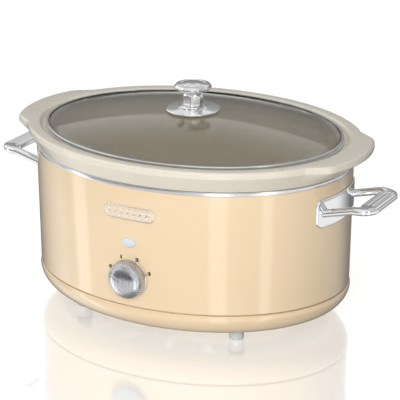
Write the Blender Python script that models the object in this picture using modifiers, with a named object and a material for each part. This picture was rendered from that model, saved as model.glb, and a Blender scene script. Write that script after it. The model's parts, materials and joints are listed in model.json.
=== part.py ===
"""Oval slow cooker: painted casing, lift-out stoneware crock, glass lid and rotary control.

Metres, +Z up. The front, with the dial, faces -Y. Every oval piece is described by its
half width along X ("radius" below) and is OVAL times as deep along Y. Heights are measured
from the seam between the casing and the base pan, so the empty that carries the pieces
stands SEAM_HEIGHT above the floor.
"""

import math

import bmesh
import bpy
from mathutils import Matrix, Vector

MM = 0.001

# Driving dimensions
OVAL = 0.773  # depth over width of every oval piece
STEPS = 40  # facets round an oval piece
GAP = 0.3 * MM  # clearance between neighbours

SEAM_HEIGHT = 37.0 * MM  # seam above the floor
CASING_TOP_R = 168.0 * MM
CASING_SEAM_R = 166.4 * MM
CASING_TOP = 122.4 * MM  # top of the painted wall
CASING_SHEET = 0.8 * MM
RING_TOP = 126.7 * MM  # top of the trim ring
WELL_SHEET = 0.7 * MM
PAN_SHEET = 1.0 * MM
PAN_FLOOR = -24.0 * MM  # underside of the base pan

CROCK_TOP_R = 156.0 * MM  # outer wall just under the collar
CROCK_LOW_R = 138.0 * MM  # outer wall where the bottom corner begins
CROCK_TOP_WALL = 124.0 * MM
CROCK_LOW_WALL = 30.0 * MM
CROCK_WALL = 8.5 * MM
CROCK_FLOOR = 17.5 * MM
CROCK_BOTTOM = 9.0 * MM
RIM_R = 177.6 * MM
RIM_TOP = 148.4 * MM
LUG_REACH = 11.0 * MM  # how far the two end lugs stand out past the rim

LID_R = 157.3 * MM
LID_RIM_TOP = 149.1 * MM
GLASS_R = 155.9 * MM
GLASS_FLAT_R = 149.5 * MM  # the glass is level from here out
GLASS_EDGE = 148.2 * MM
GLASS_RISE = 18.3 * MM
GLASS_SHEET = 3.2 * MM

DIAL_Z = 30.0 * MM
DIAL_R = 19.3 * MM
DIAL_BACK = 131.3 * MM  # these three are distances in front of the oval's centre
DIAL_SHOULDER = 133.9 * MM
DIAL_FRONT = 144.5 * MM
LENS_Z = 66.7 * MM
BADGE_Z = 97.2 * MM
BADGE_WIDTH = 55.6 * MM
BADGE_HEIGHT = 14.0 * MM

HANDLE_ROOT_X = 158.0 * MM  # where the arms leave the casing and begin to climb
HANDLE_ROOT_Z = 93.0 * MM
HANDLE_GRIP_X = 204.4 * MM
HANDLE_GRIP_Z = 101.9 * MM
HANDLE_GRIP_WIDTH = 19.0 * MM
HANDLE_GRIP_HEIGHT = 6.6 * MM
HANDLE_ARM_Y = 33.0 * MM
HANDLE_ARM_WIDTH = 8.8 * MM
HANDLE_ARM_HEIGHT = 7.6 * MM
HANDLE_CORNER = 11.5 * MM
HANDLE_SCREW_X = 159.2 * MM  # seat of the handle screws' heads, inside the casing
HANDLE_SCREW_Z = 94.8 * MM
PLATE_Z = 95.0 * MM
PLATE_LENGTH = 87.0 * MM
PLATE_HEIGHT = 29.5 * MM
PLATE_SHEET = 1.2 * MM

FOOT_X = 88.0 * MM
FOOT_Y = 72.0 * MM
TIE_X = 52.0 * MM
BAND_LOW = 52.0 * MM
BAND_TOP = 90.0 * MM
GLAND_Z = 14.0 * MM

# The oval's centre is placed so that the whole cooker is centred on the origin front to back.
CENTRE_Y = (DIAL_FRONT - RIM_R * OVAL) / 2


# Shapes


def mm(*points):
    """Points given in millimetres, in metres."""
    return [tuple(value * MM for value in point) for point in points]


def offsets(reference, *points):
    """Points given in millimetres from a reference point, in metres."""
    return [(reference[0] + x * MM, reference[1] + z * MM) for x, z in points]


def arc(centre, radii, start, end, count):
    """Points on an elliptical arc, in degrees from +X, both ends included."""
    points = []
    for step in range(count + 1):
        angle = math.radians(start + (end - start) * step / count)
        points.append(
            (
                centre[0] + radii[0] * math.cos(angle),
                centre[1] + radii[1] * math.sin(angle),
            )
        )
    return points


def turned_mesh(name, profile, steps=STEPS, closed=False, oval=False):
    """A profile turned about Z with a Screw, and squeezed along Y where the piece is oval."""
    mesh = bpy.data.meshes.new(name)
    edges = [(i, i + 1) for i in range(len(profile) - 1)]
    if closed:
        edges.append((len(profile) - 1, 0))
    mesh.from_pydata([(x, 0.0, z) for x, z in profile], edges, [])
    guide = bpy.data.objects.new(name + "_profile", mesh)
    cutters.objects.link(guide)
    screw = guide.modifiers.new("Turn", "SCREW")
    screw.steps = screw.render_steps = steps
    screw.use_merge_vertices = True
    screw.merge_threshold = 0.00001
    turned = applied_mesh(guide, name)
    if oval:
        turned.transform(Matrix.Diagonal((1.0, OVAL, 1.0, 1.0)))
    return turned


def applied_mesh(obj, name):
    """The object's mesh with its modifiers applied; the object is removed."""
    bpy.context.view_layer.update()
    graph = bpy.context.evaluated_depsgraph_get()
    mesh = bpy.data.meshes.new_from_object(obj.evaluated_get(graph))
    mesh.name = name
    bpy.data.objects.remove(obj)
    return mesh


def from_bmesh(name, shape):
    """A mesh made from a bmesh, with its faces turned out."""
    bmesh.ops.recalc_face_normals(shape, faces=shape.faces)
    mesh = bpy.data.meshes.new(name)
    shape.to_mesh(mesh)
    shape.free()
    return mesh


def prism_mesh(name, outline, low, high):
    """An outline in XY stood up between two heights."""
    shape = bmesh.new()
    face = shape.faces.new([shape.verts.new((x, y, low)) for x, y in outline])
    side = bmesh.ops.extrude_face_region(shape, geom=[face])
    moved = [item for item in side["geom"] if isinstance(item, bmesh.types.BMVert)]
    bmesh.ops.translate(shape, verts=moved, vec=(0, 0, high - low))
    return from_bmesh(name, shape)


def rounded_outline(width, height, corner, count=4):
    """A rectangle with round corners, centred on the origin."""
    points = []
    for turn in range(4):
        across = width / 2 - corner
        along = height / 2 - corner
        centre = (
            across if turn in (0, 3) else -across,
            along if turn in (0, 1) else -along,
        )
        points += arc(centre, (corner, corner), 90 * turn, 90 * turn + 90, count)
    return points


def box_mesh(name, size):
    """A box centred on the origin."""
    shape = bmesh.new()
    bmesh.ops.create_cube(shape, size=1.0)
    bmesh.ops.scale(shape, verts=shape.verts, vec=size)
    return from_bmesh(name, shape)


def cylinder_mesh(name, radius, low, high, segments=24):
    """A cylinder, or a prism with few segments, about Z."""
    shape = bmesh.new()
    bmesh.ops.create_cone(
        shape,
        cap_ends=True,
        segments=segments,
        radius1=radius,
        radius2=radius,
        depth=high - low,
        matrix=Matrix.Translation((0, 0, (high + low) / 2)),
    )
    return from_bmesh(name, shape)


def place(name, mesh, parent, finish, at=(0, 0, 0), turn=(0, 0, 0)):
    """Puts a mesh in the cooker's collection as one named part."""
    obj = bpy.data.objects.new(name, mesh)
    parts.objects.link(obj)
    obj.parent = parent
    obj.location = at
    obj.rotation_euler = turn
    if not mesh.materials:
        mesh.materials.append(finish)
    mesh.shade_smooth()
    mesh.set_sharp_from_angle(angle=math.radians(35))
    return obj


def cutter(name, mesh, parent=None, at=(0, 0, 0), turn=(0, 0, 0)):
    """A helper that other parts are cut by. It never shows."""
    obj = bpy.data.objects.new(name, mesh)
    cutters.objects.link(obj)
    obj.parent = parent
    obj.location = at
    obj.rotation_euler = turn
    obj.hide_render = True
    obj.display_type = "WIRE"
    return obj


def boolean(obj, other, operation="DIFFERENCE"):
    """Cuts, joins or trims one object by another."""
    modifier = obj.modifiers.new(other.name, "BOOLEAN")
    modifier.operation = operation
    modifier.solver = "EXACT"
    modifier.object = other


def thicken(obj, thickness):
    """Gives an open surface its sheet thickness, inwards."""
    solidify = obj.modifiers.new("Sheet", "SOLIDIFY")
    solidify.thickness = thickness
    solidify.offset = -1
    solidify.use_even_offset = True


def round_edges(obj, width, segments=1):
    """Rounds the sharp edges of a boxy part."""
    bevel = obj.modifiers.new("Edges", "BEVEL")
    bevel.width = width
    bevel.segments = segments
    bevel.limit_method = "ANGLE"


def material(name, colour, roughness, metallic=0.0):
    """A Principled material of one colour."""
    made = bpy.data.materials.new(name)
    made.use_nodes = True
    shader = made.node_tree.nodes["Principled BSDF"]
    shader.inputs["Base Color"].default_value = (*colour, 1.0)
    shader.inputs["Roughness"].default_value = roughness
    shader.inputs["Metallic"].default_value = metallic
    return made


def empty(name, at, parent=None):
    """An empty on a reference point or a joint's axis."""
    obj = bpy.data.objects.new(name, None)
    parts.objects.link(obj)
    obj.parent = parent
    obj.location = at
    obj.empty_display_size = 0.02
    return obj


def casing_radius(z):
    """Outer half width of the casing at a height above the seam."""
    return CASING_SEAM_R + (CASING_TOP_R - CASING_SEAM_R) * z / CASING_TOP


def crock_radius(z):
    """Outer half width of the crock's tapered wall."""
    share = (z - CROCK_LOW_WALL) / (CROCK_TOP_WALL - CROCK_LOW_WALL)
    return CROCK_LOW_R + (CROCK_TOP_R - CROCK_LOW_R) * share


def well_radius(z):
    """Outer half width of the heating well's tapered wall."""
    return crock_radius(z) + 2.5 * MM + WELL_SHEET


# Body


def casing():
    """The painted steel wrap, drawn in at the top to sit under the trim ring."""
    lip = CASING_TOP_R - 1.2 * MM
    profile = [
        (lip, CASING_TOP + 2.0 * MM),
        (lip, CASING_TOP + 0.4 * MM),
        (CASING_TOP_R, CASING_TOP - 0.2 * MM),
        (CASING_SEAM_R, 0.3 * MM),
    ]
    obj = place("casing", turned_mesh("casing", profile, oval=True), body, cream)
    thicken(obj, CASING_SHEET)
    forward = (math.radians(90), 0, 0)
    front_y = -casing_radius(DIAL_Z) * OVAL
    for name, radius, x, z, y in (
        ("dial_hole", 4.3 * MM, 0.0, DIAL_Z, front_y),
        ("lens_hole", 4.2 * MM, 0.0, LENS_Z, front_y),
        ("badge_hole_left", 1.5 * MM, -18.0 * MM, BADGE_Z, front_y),
        ("badge_hole_right", 1.5 * MM, 18.0 * MM, BADGE_Z, front_y),
        ("gland_hole", 6.2 * MM, 0.0, GLAND_Z, -front_y),
    ):
        drill = cylinder_mesh(name, radius, -8 * MM, 8 * MM, 20)
        boolean(obj, cutter(name, drill, body, (x, y, z), forward))
    for side in (-1, 1):
        for end in (-1, 1):
            name = f"handle_hole_{side}_{end}"
            drill = cylinder_mesh(name, 2.1 * MM, -14 * MM, 14 * MM, 12)
            spot = (side * HANDLE_ROOT_X, end * HANDLE_ARM_Y, HANDLE_SCREW_Z)
            boolean(obj, cutter(name, drill, body, spot, (0, math.radians(90), 0)))


def top_ring():
    """The bright trim ring that caps the casing and the well's flange."""
    profile = [
        (CASING_TOP_R - 0.6 * MM, RING_TOP),
        (CASING_TOP_R, RING_TOP - 0.6 * MM),
        (CASING_TOP_R, CASING_TOP + 0.2 * MM),
        (CASING_TOP_R - 0.8 * MM, CASING_TOP + 0.2 * MM),
        (CASING_TOP_R - 0.8 * MM, RING_TOP - 0.8 * MM),
        (CASING_TOP_R - 7.7 * MM, RING_TOP - 0.8 * MM),
        (CASING_TOP_R - 7.7 * MM, RING_TOP),
    ]
    mesh = turned_mesh("top_ring", profile, closed=True, oval=True)
    place("top_ring", mesh, body, bright_steel)


def heating_well():
    """The sheet liner that the crock stands in: flange, tapered wall and floor."""
    corner = 36.0 * MM
    floor = 5.3 * MM
    centre_r = 108.0 * MM
    flange = 124.9 * MM
    profile = [
        (CASING_TOP_R - 1.4 * MM, flange),
        (well_radius(flange) + 2.4 * MM, flange),
        (well_radius(flange), flange - 2.0 * MM),
        *arc(
            (centre_r, corner),
            (well_radius(corner) - centre_r, corner - floor),
            0,
            -90,
            3,
        ),
        (0.0, floor),
    ]
    mesh = turned_mesh("heating_well", profile, oval=True)
    thicken(place("heating_well", mesh, body, dull_steel), WELL_SHEET)


def base_pan():
    """The pressed base: an upstand inside the casing, a small bulge and a curved side."""
    profile = [
        *mm((164.6, 6.0), (164.6, 0.4), (166.9, -0.4), (167.5, -2.4)),
        *arc((143.0 * MM, -3.0 * MM), (24.4 * MM, 21.0 * MM), -16, -90, 4),
        (0.0, PAN_FLOOR),
    ]
    mesh = turned_mesh("base_pan", profile, oval=True)
    obj = place("base_pan", mesh, body, cream)
    thicken(obj, PAN_SHEET)
    for name, radius, x, y in (
        *((f"foot_hole_{n}", 2.1 * MM, x, y) for n, x, y in foot_places()),
        ("tie_hole_left", 2.2 * MM, -TIE_X, 0.0),
        ("tie_hole_right", 2.2 * MM, TIE_X, 0.0),
        *((f"vent_{n}", 2.5 * MM, (n - 1.5) * 22 * MM, -46 * MM) for n in range(4)),
    ):
        drill = cylinder_mesh(name, radius, -4 * MM, 4 * MM, 8)
        boolean(obj, cutter(name, drill, body, (x, y, PAN_FLOOR)))


def foot_places():
    """Name, x and y of each foot."""
    return [
        ("front_left", -FOOT_X, -FOOT_Y),
        ("front_right", FOOT_X, -FOOT_Y),
        ("rear_left", -FOOT_X, FOOT_Y),
        ("rear_right", FOOT_X, FOOT_Y),
    ]


def feet():
    """Four pale feet, each counterbored for its screw."""
    top = PAN_FLOOR - GAP
    bottom = -SEAM_HEIGHT
    profile = [
        (7.9 * MM, top),
        (7.9 * MM, bottom + 0.8 * MM),
        (7.2 * MM, bottom),
        (4.4 * MM, bottom),
        (4.4 * MM, bottom + 5.0 * MM),
        (2.1 * MM, bottom + 5.0 * MM),
        (2.1 * MM, top),
    ]
    foot = turned_mesh("foot", profile, 16, closed=True)
    screw = screw_mesh("foot_screw", 1.7 * MM, 3.6 * MM, 2.2 * MM, 14.0 * MM)
    for name, x, y in foot_places():
        place(f"foot_{name}", foot, body, clear_white, (x, y, 0))
        head = bottom + 5.0 * MM - GAP
        place(f"foot_screw_{name}", screw, body, zinc, (x, y, head))


def screw_mesh(name, shank, head, head_height, length):
    """A screw standing on +Z with its head below the origin and a cross recess in it."""
    profile = [
        (0.0, length),
        (shank, length - shank),
        (shank, 0.0),
        (head, 0.0),
        (head * 0.8, -head_height),
        (0.0, -head_height),
    ]
    solid = place(name, turned_mesh(name, profile, 10), None, zinc)
    blade = (head * 1.1, head * 0.28, head_height)
    slots = []
    for turn in (0, 90):
        slot = cutter(
            f"{name}_slot_{turn}",
            box_mesh(name, blade),
            at=(0, 0, -head_height),
            turn=(0, 0, math.radians(turn)),
        )
        boolean(solid, slot)
        slots.append(slot)
    mesh = applied_mesh(solid, name)
    for slot in slots:
        bpy.data.objects.remove(slot)
    return mesh


def tie_posts():
    """Two hexagonal posts under the well, and the screws that pull the pan up to them."""
    top = 5.3 * MM - GAP
    low = PAN_FLOOR + PAN_SHEET + GAP
    post = place("post", cylinder_mesh("tie_post", 4.5 * MM, low, top, 6), None, zinc)
    bore = cutter("post_bore", cylinder_mesh("bore", 2.1 * MM, low - MM, low + 14 * MM, 12))
    boolean(post, bore)
    post_mesh = applied_mesh(post, "tie_post")
    bpy.data.objects.remove(bore)
    screw = screw_mesh("tie_screw", 1.8 * MM, 3.6 * MM, 2.2 * MM, 13.0 * MM)
    for name, x in (("left", -TIE_X), ("right", TIE_X)):
        place(f"tie_post_{name}", post_mesh, body, zinc, (x, 0, 0))
        place(f"tie_screw_{name}", screw, body, zinc, (x, 0, PAN_FLOOR - GAP))


# Handles


def arm_height(x):
    """Height of the handle's centre line, which climbs from the casing to the grip."""
    end = HANDLE_GRIP_X - HANDLE_CORNER
    share = min(max((x - HANDLE_ROOT_X) / (end - HANDLE_ROOT_X), 0.0), 1.0)
    return HANDLE_ROOT_Z + (HANDLE_GRIP_Z - HANDLE_ROOT_Z) * share


def handle_stations():
    """Centre, heading, width and height along the handle, from one root to the other."""
    corner = (HANDLE_GRIP_X - HANDLE_CORNER, HANDLE_ARM_Y - HANDLE_CORNER)
    half = [(x, HANDLE_ARM_Y, 0.0, 0.0) for x in (148 * MM, 172 * MM)]
    bend = arc(corner, (HANDLE_CORNER, HANDLE_CORNER), 90, 0, 6)
    half += [(x, y, -15.0 * i, i / 6) for i, (x, y) in enumerate(bend)]
    far = [(x, -y, -180 - turn, share) for x, y, turn, share in reversed(half)]
    middle = [(HANDLE_GRIP_X, 0.0, -90.0, 1.0)]
    stations = []
    for x, y, turn, share in half + middle + far:
        wide = HANDLE_ARM_WIDTH + (HANDLE_GRIP_WIDTH - HANDLE_ARM_WIDTH) * share
        tall = HANDLE_ARM_HEIGHT + (HANDLE_GRIP_HEIGHT - HANDLE_ARM_HEIGHT) * share
        stations.append((Vector((x, y, arm_height(x))), math.radians(turn), wide, tall))
    return stations


def handle_loft(name, grow=0.0):
    """The U-shaped handle, lofted through rounded sections that widen at the grip."""
    around = 12
    shape = bmesh.new()
    rings = []
    for centre, turn, wide, tall in handle_stations():
        side = Vector((-math.sin(turn), math.cos(turn), 0))
        ring = []
        for step in range(around):
            angle = 2 * math.pi * step / around
            c, s = math.cos(angle), math.sin(angle)
            across = math.copysign(abs(c) ** 0.55, c) * (wide / 2 + grow)
            up = math.copysign(abs(s) ** 0.55, s) * (tall / 2 + grow)
            ring.append(shape.verts.new(centre + side * across + Vector((0, 0, up))))
        rings.append(ring)
    for here, there in zip(rings, rings[1:]):
        for step in range(around):
            after = (step + 1) % around
            shape.faces.new((here[step], here[after], there[after], there[step]))
    shape.faces.new(rings[0])
    shape.faces.new(reversed(rings[-1]))
    return from_bmesh(name, shape)


def casing_block(grow):
    """The casing's solid envelope, grown outwards, for trimming what stands on it."""
    profile = [
        (0.0, 130 * MM),
        (casing_radius(130 * MM) + grow, 130 * MM),
        (casing_radius(0.0) + grow, 0.0),
        (0.0, 0.0),
    ]
    return turned_mesh("casing_block", profile, oval=True)


def casing_patch(name, outline, turn, gap, thickness):
    """A plate cut to an outline that hugs the casing at a gap. turn faces it."""
    low, high = 60 * MM, 120 * MM
    inner, outer = gap, gap + thickness
    shell = [
        (casing_radius(high) + outer, high),
        (casing_radius(low) + outer, low),
        (casing_radius(low) + inner, low),
        (casing_radius(high) + inner, high),
    ]
    patch = place(name, turned_mesh(name, shell, closed=True, oval=True), None, chrome)
    stamp = prism_mesh(name + "_outline", outline, 100 * MM, 190 * MM)
    stamp.transform(turn)
    boolean(patch, cutter(name + "_outline", stamp), "INTERSECT")
    return patch


def handles():
    """Two chrome handles with curved back plates, each held by two screws from inside."""
    sideways = Matrix.Translation((0, 0, PLATE_Z)) @ Matrix.Rotation(math.radians(90), 4, "Y")
    plate = casing_patch(
        "plate", rounded_outline(PLATE_HEIGHT, PLATE_LENGTH, 7 * MM), sideways, GAP, PLATE_SHEET
    )
    boolean(plate, cutter("arm_clearance", handle_loft("arm_clearance", GAP)))
    plate_mesh = applied_mesh(plate, "handle_plate")

    loop = place("loop", handle_loft("loop"), None, chrome)
    boolean(loop, cutter("casing_envelope", casing_block(GAP)))
    for end in (-1, 1):
        bore = cylinder_mesh(f"handle_bore_{end}", 1.7 * MM, 150 * MM, 170.6 * MM, 12)
        spot = (0, end * HANDLE_ARM_Y, HANDLE_SCREW_Z)
        bored = cutter(f"handle_bore_{end}", bore, None, spot, (0, math.radians(90), 0))
        boolean(loop, bored)
    loop_mesh = applied_mesh(loop, "handle_loop")

    screw = screw_mesh("handle_screw", 1.4 * MM, 3.4 * MM, 2.2 * MM, 10.6 * MM)
    for side, turn in (("right", 0.0), ("left", math.pi)):
        facing = (0, 0, turn)
        place(f"handle_{side}", loop_mesh, body, chrome, turn=facing)
        place(f"handle_plate_{side}", plate_mesh, body, chrome, turn=facing)
        sign = math.cos(turn)
        for end, sway in (("front", -1), ("rear", 1)):
            spot = (sign * HANDLE_SCREW_X, sway * HANDLE_ARM_Y, HANDLE_SCREW_Z)
            lean = (0, math.radians(90) * sign, 0)
            place(f"handle_screw_{side}_{end}", screw, body, zinc, spot, lean)


# Front


def badge():
    """A plain bright plate on the front, curved to the casing."""
    upright = Matrix.Translation((0, 0, BADGE_Z)) @ Matrix.Rotation(math.radians(90), 4, "X")
    outline = rounded_outline(BADGE_WIDTH, BADGE_HEIGHT, 5.5 * MM)
    plate = casing_patch("badge", outline, upright, GAP / OVAL, 1.7 * MM / OVAL)
    plate.parent = body
    bpy.data.objects["badge_outline"].parent = body
    for side, x in (("left", -18.0 * MM), ("right", 18.0 * MM)):
        pin = cylinder_mesh(f"badge_pin_{side}", 1.1 * MM, -4 * MM, 4 * MM, 10)
        spot = (x, -casing_radius(BADGE_Z) * OVAL + 2.6 * MM, BADGE_Z)
        joined = cutter(f"badge_pin_{side}", pin, body, spot, (math.radians(90), 0, 0))
        boolean(plate, joined, "UNION")


def indicator():
    """The oval lens with its stem, and the neon lamp in a clip behind it."""
    front = -casing_radius(LENS_Z) * OVAL
    forward = (math.radians(90), 0, 0)
    dome = [
        (0.0, 2.8 * MM),
        (2.4 * MM, 2.5 * MM),
        (3.9 * MM, 1.7 * MM),
        (4.75 * MM, 0.3 * MM),
        (4.75 * MM, -3.0 * MM),
        (0.0, -3.0 * MM),
    ]
    mesh = turned_mesh("lens", dome, 24)
    mesh.transform(Matrix.Diagonal((1.68, 1.0, 1.0, 1.0)))
    lens = place("indicator_lens", mesh, body, lamp_clear, (0, front, LENS_Z), forward)
    boolean(lens, cutter("lens_seat", casing_block(GAP / OVAL), body))
    stem = cylinder_mesh("lens_stem", 3.8 * MM, -2.6 * MM, 1.2 * MM, 20)
    stem_cut = cutter("lens_stem", stem, body, (0, front, LENS_Z), forward)
    boolean(lens, stem_cut, "UNION")

    bulb = [
        (0.0, 5.5 * MM),
        (1.3 * MM, 5.1 * MM),
        (2.0 * MM, 3.8 * MM),
        (2.0 * MM, -4.5 * MM),
        (0.0, -4.5 * MM),
    ]
    lamp_y = front + 5.0 * MM
    lamp = turned_mesh("lamp", bulb, 14)
    place("indicator_lamp", lamp, body, lamp_clear, (0, lamp_y, LENS_Z), (0, math.pi / 2, 0))
    clip = place("clip", box_mesh("clip", (9 * MM, 2.4 * MM, 6 * MM)), None, black_plastic)
    groove = cylinder_mesh("lamp_groove", 2.3 * MM, -6 * MM, 6 * MM, 14)
    boolean(clip, cutter("lamp_groove", groove, None, (0, -2.2 * MM, 0), (0, math.pi / 2, 0)))
    mesh = applied_mesh(clip, "lamp_clip")
    place("lamp_clip", mesh, body, black_plastic, (0, lamp_y + 2.2 * MM, LENS_Z))


def dial_front(radius):
    """How far the dial's domed face stands in front of the oval's centre at a radius."""
    share = max(0.0, 1 - (radius / DIAL_R) ** 2.5)
    return DIAL_SHOULDER + (DIAL_FRONT - DIAL_SHOULDER) * share ** 0.4


def control():
    """The rotary switch behind the casing, and the dial that turns it."""
    axis = empty("dial_axis", (0, 0, DIAL_Z), body)
    forward = (math.radians(90), 0, 0)

    bezel = mm((19.5, 130.9), (19.9, 130.5), (19.9, 129.3), (4.4, 129.3), (4.4, 130.9))
    mesh = turned_mesh("dial_bezel", bezel, 32, closed=True)
    place("dial_bezel", mesh, axis, chrome, turn=forward)

    housing = mm(
        (4.0, 134.0), (4.0, 127.3), (13.0, 127.3), (13.0, 115.2),
        (11.9, 115.2), (11.9, 125.6), (3.2, 125.6), (3.2, 134.0),
    )
    mesh = turned_mesh("switch_housing", housing, 20, closed=True)
    place("switch_housing", mesh, axis, black_plastic, turn=forward)

    nut = place("nut", cylinder_mesh("nut", 6.4 * MM, 131.2 * MM, 133.4 * MM, 6), None, zinc)
    bore = cutter("nut_bore", cylinder_mesh("nut_bore", 4.3 * MM, 130 * MM, 135 * MM, 24))
    boolean(nut, bore)
    mesh = applied_mesh(nut, "switch_nut")
    place("switch_nut", mesh, axis, zinc, turn=forward)

    plate = mm((0, 116.8), (11.5, 116.8), (11.5, 115.4), (0, 115.4))
    mesh = turned_mesh("switch_terminals", plate, 24)
    terminals = place("switch_terminals", mesh, axis, brass, turn=forward)
    for index, x in enumerate((-6.0, 0.0, 6.0)):
        tab = box_mesh("tab", (4.0 * MM, 4.4 * MM, 0.8 * MM))
        joined = cutter(f"switch_tab_{index}", tab, axis, (x * MM, -113.9 * MM, 0))
        boolean(terminals, joined, "UNION")

    rotor = mm(
        (9.5, 123.8), (9.5, 119.4), (5.2, 119.4), (5.2, 118.2), (3.3, 118.2), (3.3, 123.8)
    )
    mesh = turned_mesh("switch_rotor", rotor, 20, closed=True)
    place("switch_rotor", mesh, axis, black_plastic, turn=forward)

    spindle = mm((0, 140.2), (2.6, 140.2), (3.0, 139.8), (3.0, 117.8), (0, 117.8))
    mesh = turned_mesh("switch_shaft", spindle, 24)
    shaft = place("switch_shaft", mesh, axis, brass, turn=forward)
    flat = box_mesh("shaft_flat", (8 * MM, 5.8 * MM, 3 * MM))
    boolean(shaft, cutter("shaft_flat", flat, axis, (0, -138.1 * MM, 3.3 * MM)))

    hub = mm((0, 141.2), (9.5, 141.2), (9.5, 139.8), (7.0, 139.8), (7.0, 134.3), (0, 134.3))
    core = place("knob_core", turned_mesh("knob_core", hub, 24), axis, black_plastic, turn=forward)
    socket = cylinder_mesh("hub_bore", 3.3 * MM, 133.5 * MM, 140.5 * MM, 24)
    boolean(core, cutter("hub_bore", socket, axis, turn=forward))

    dome = [
        *(
            (DIAL_R * share, dial_front(DIAL_R * share))
            for share in (0.0, 0.4, 0.65, 0.81, 0.92, 0.98, 1.0)
        ),
        (DIAL_R, DIAL_BACK),
        *mm((17.4, 131.3), (17.2, 135.6), (16.2, 138.0), (13.8, 140.4), (10.4, 141.6)),
        (0.0, 142.2 * MM),
    ]
    mesh = turned_mesh("dial_knob", dome, 32)
    place("dial_knob", mesh, axis, brushed, turn=forward)


# Crock and lid


def lug_share(angle):
    """How far out the rim's plan stands at an angle round the oval: 1 at the ends, 0 elsewhere."""
    from_end = math.degrees(math.acos(min(1.0, abs(math.cos(angle)))))
    share = min(max((29.0 - from_end) / 10.0, 0.0), 1.0)
    return share * share * (3 - 2 * share)


def crock():
    """The stoneware pot: tapered wall, ledge for the lid, flared collar and end lugs."""
    low_z = 39.0 * MM
    out_r = 108.0 * MM
    in_z = 42.0 * MM
    in_r = 104.0 * MM
    profile = [
        (0.0, CROCK_FLOOR),
        *arc(
            (in_r, in_z),
            (crock_radius(in_z) - CROCK_WALL - in_r, in_z - CROCK_FLOOR),
            -90,
            0,
            4,
        ),
        *mm((147.5, 124.0), (148.6, 138.0), (149.6, 142.6), (151.0, 143.7)),
        *mm((160.4, 143.8), (162.6, 145.0), (163.6, 147.4)),
        *offsets(
            (RIM_R, RIM_TOP),
            (-12.2, 0.0), (-2.6, 0.0), (-0.7, -0.9), (0.0, -3.2), (-0.8, -6.8),
            (-2.6, -10.4), (-5.0, -14.9), (-7.6, -19.1), (-10.0, -21.4),
        ),
        *mm((157.6, 127.0), (156.2, 125.4)),
        *arc((out_r, low_z), (crock_radius(low_z) - out_r, low_z - CROCK_BOTTOM), 0, -90, 4),
        (0.0, CROCK_BOTTOM),
    ]
    mesh = turned_mesh("crock", profile, oval=True)
    for vertex in mesh.vertices:
        x, y, z = vertex.co
        radius = math.hypot(x, y / OVAL)
        if radius < 168.4 * MM or z < 127.5 * MM:
            continue
        height = min((z - 127.0 * MM) / (14.0 * MM), 1.0)
        out = LUG_REACH * lug_share(math.atan2(y / OVAL, x)) * height
        grow = (radius + out) / radius
        vertex.co = (x * grow, y * grow, z)
    place("crock", mesh, empty("crock_lift_axis", (0, 0, 0), body), glaze)


def glass_height(radius):
    """Height of the lid glass's top face at a half width."""
    if radius >= GLASS_FLAT_R:
        return GLASS_EDGE
    return GLASS_EDGE + GLASS_RISE * (1 - (radius / GLASS_FLAT_R) ** 2)


def lid():
    """The domed glass with its steel rim, and the knob bolted through its centre."""
    axis = empty("lid_lift_axis", (0, 0, 0), body)
    radii = [3.6 * MM] + [share * GLASS_FLAT_R for share in (0.3, 0.6, 0.82)]
    radii += [GLASS_FLAT_R, GLASS_R]
    profile = [(radius, glass_height(radius)) for radius in radii]
    glass = place("lid_glass", turned_mesh("lid_glass", profile, oval=True), axis, smoked)
    thicken(glass, GLASS_SHEET)

    channel = offsets(
        (LID_R, LID_RIM_TOP),
        (-0.5, 0.0), (0.0, -0.5), (0.0, -5.0), (-3.9, -5.0),
        (-3.9, -4.4), (-1.0, -4.4), (-1.0, -0.6), (-2.5, -0.6), (-2.5, 0.0),
    )
    mesh = turned_mesh("lid_rim", channel, closed=True, oval=True)
    place("lid_rim", mesh, axis, bright_steel)

    flange = mm(
        (12.2, 171.2), (12.6, 170.8), (12.8, 169.8), (15.0, 169.2), (26.4, 168.3),
        (27.4, 167.7), (27.3, 166.9), (3.3, 166.9), (3.3, 171.2),
    )
    mesh = turned_mesh("lid_knob_flange", flange, 28, closed=True)
    place("lid_knob_flange", mesh, axis, chrome)

    stem = place("stem", cylinder_mesh("stem", 10.4 * MM, 171.5 * MM, 183.9 * MM, 6), None, chrome)
    taper = mm((0, 184.5), (8.8, 184.5), (8.8, 183.9), (10.6, 181.6), (10.6, 171.0), (0, 171.0))
    boolean(stem, cutter("stem_taper", turned_mesh("taper", taper, 30)), "INTERSECT")
    bore = cylinder_mesh("stem_bore", 2.6 * MM, 170 * MM, 182 * MM, 16)
    boolean(stem, cutter("stem_bore", bore))
    mesh = applied_mesh(stem, "lid_knob_stem")
    place("lid_knob_stem", mesh, axis, chrome, turn=(0, 0, math.radians(-74.7)))

    cap = mm(
        (0, 194.6), (8.5, 194.1), (17.0, 192.7), (18.9, 191.0), (18.9, 189.6),
        (17.8, 188.4), (13.0, 186.9), (10.2, 185.6), (10.0, 184.2), (0, 184.2),
    )
    mesh = turned_mesh("lid_knob_cap", cap, 28)
    place("lid_knob_cap", mesh, axis, chrome)

    washer = mm((11.0, 162.7), (11.0, 161.2), (3.3, 161.2), (3.3, 162.7))
    mesh = turned_mesh("lid_knob_washer", washer, 16, closed=True)
    place("lid_knob_washer", mesh, axis, clear_white)
    screw = screw_mesh("lid_knob_screw", 2.3 * MM, 5.5 * MM, 2.6 * MM, 19.0 * MM)
    place("lid_knob_screw", screw, axis, zinc, (0, 0, 160.9 * MM))


# Inside


def band_profile(low, high, gap, thickness):
    """A closed ring profile that hugs the well's taper."""
    inner, outer = gap, gap + thickness
    return [
        (well_radius(high) + outer, high),
        (well_radius(low) + outer, low),
        (well_radius(low) + inner, low),
        (well_radius(high) + inner, high),
    ]


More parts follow.
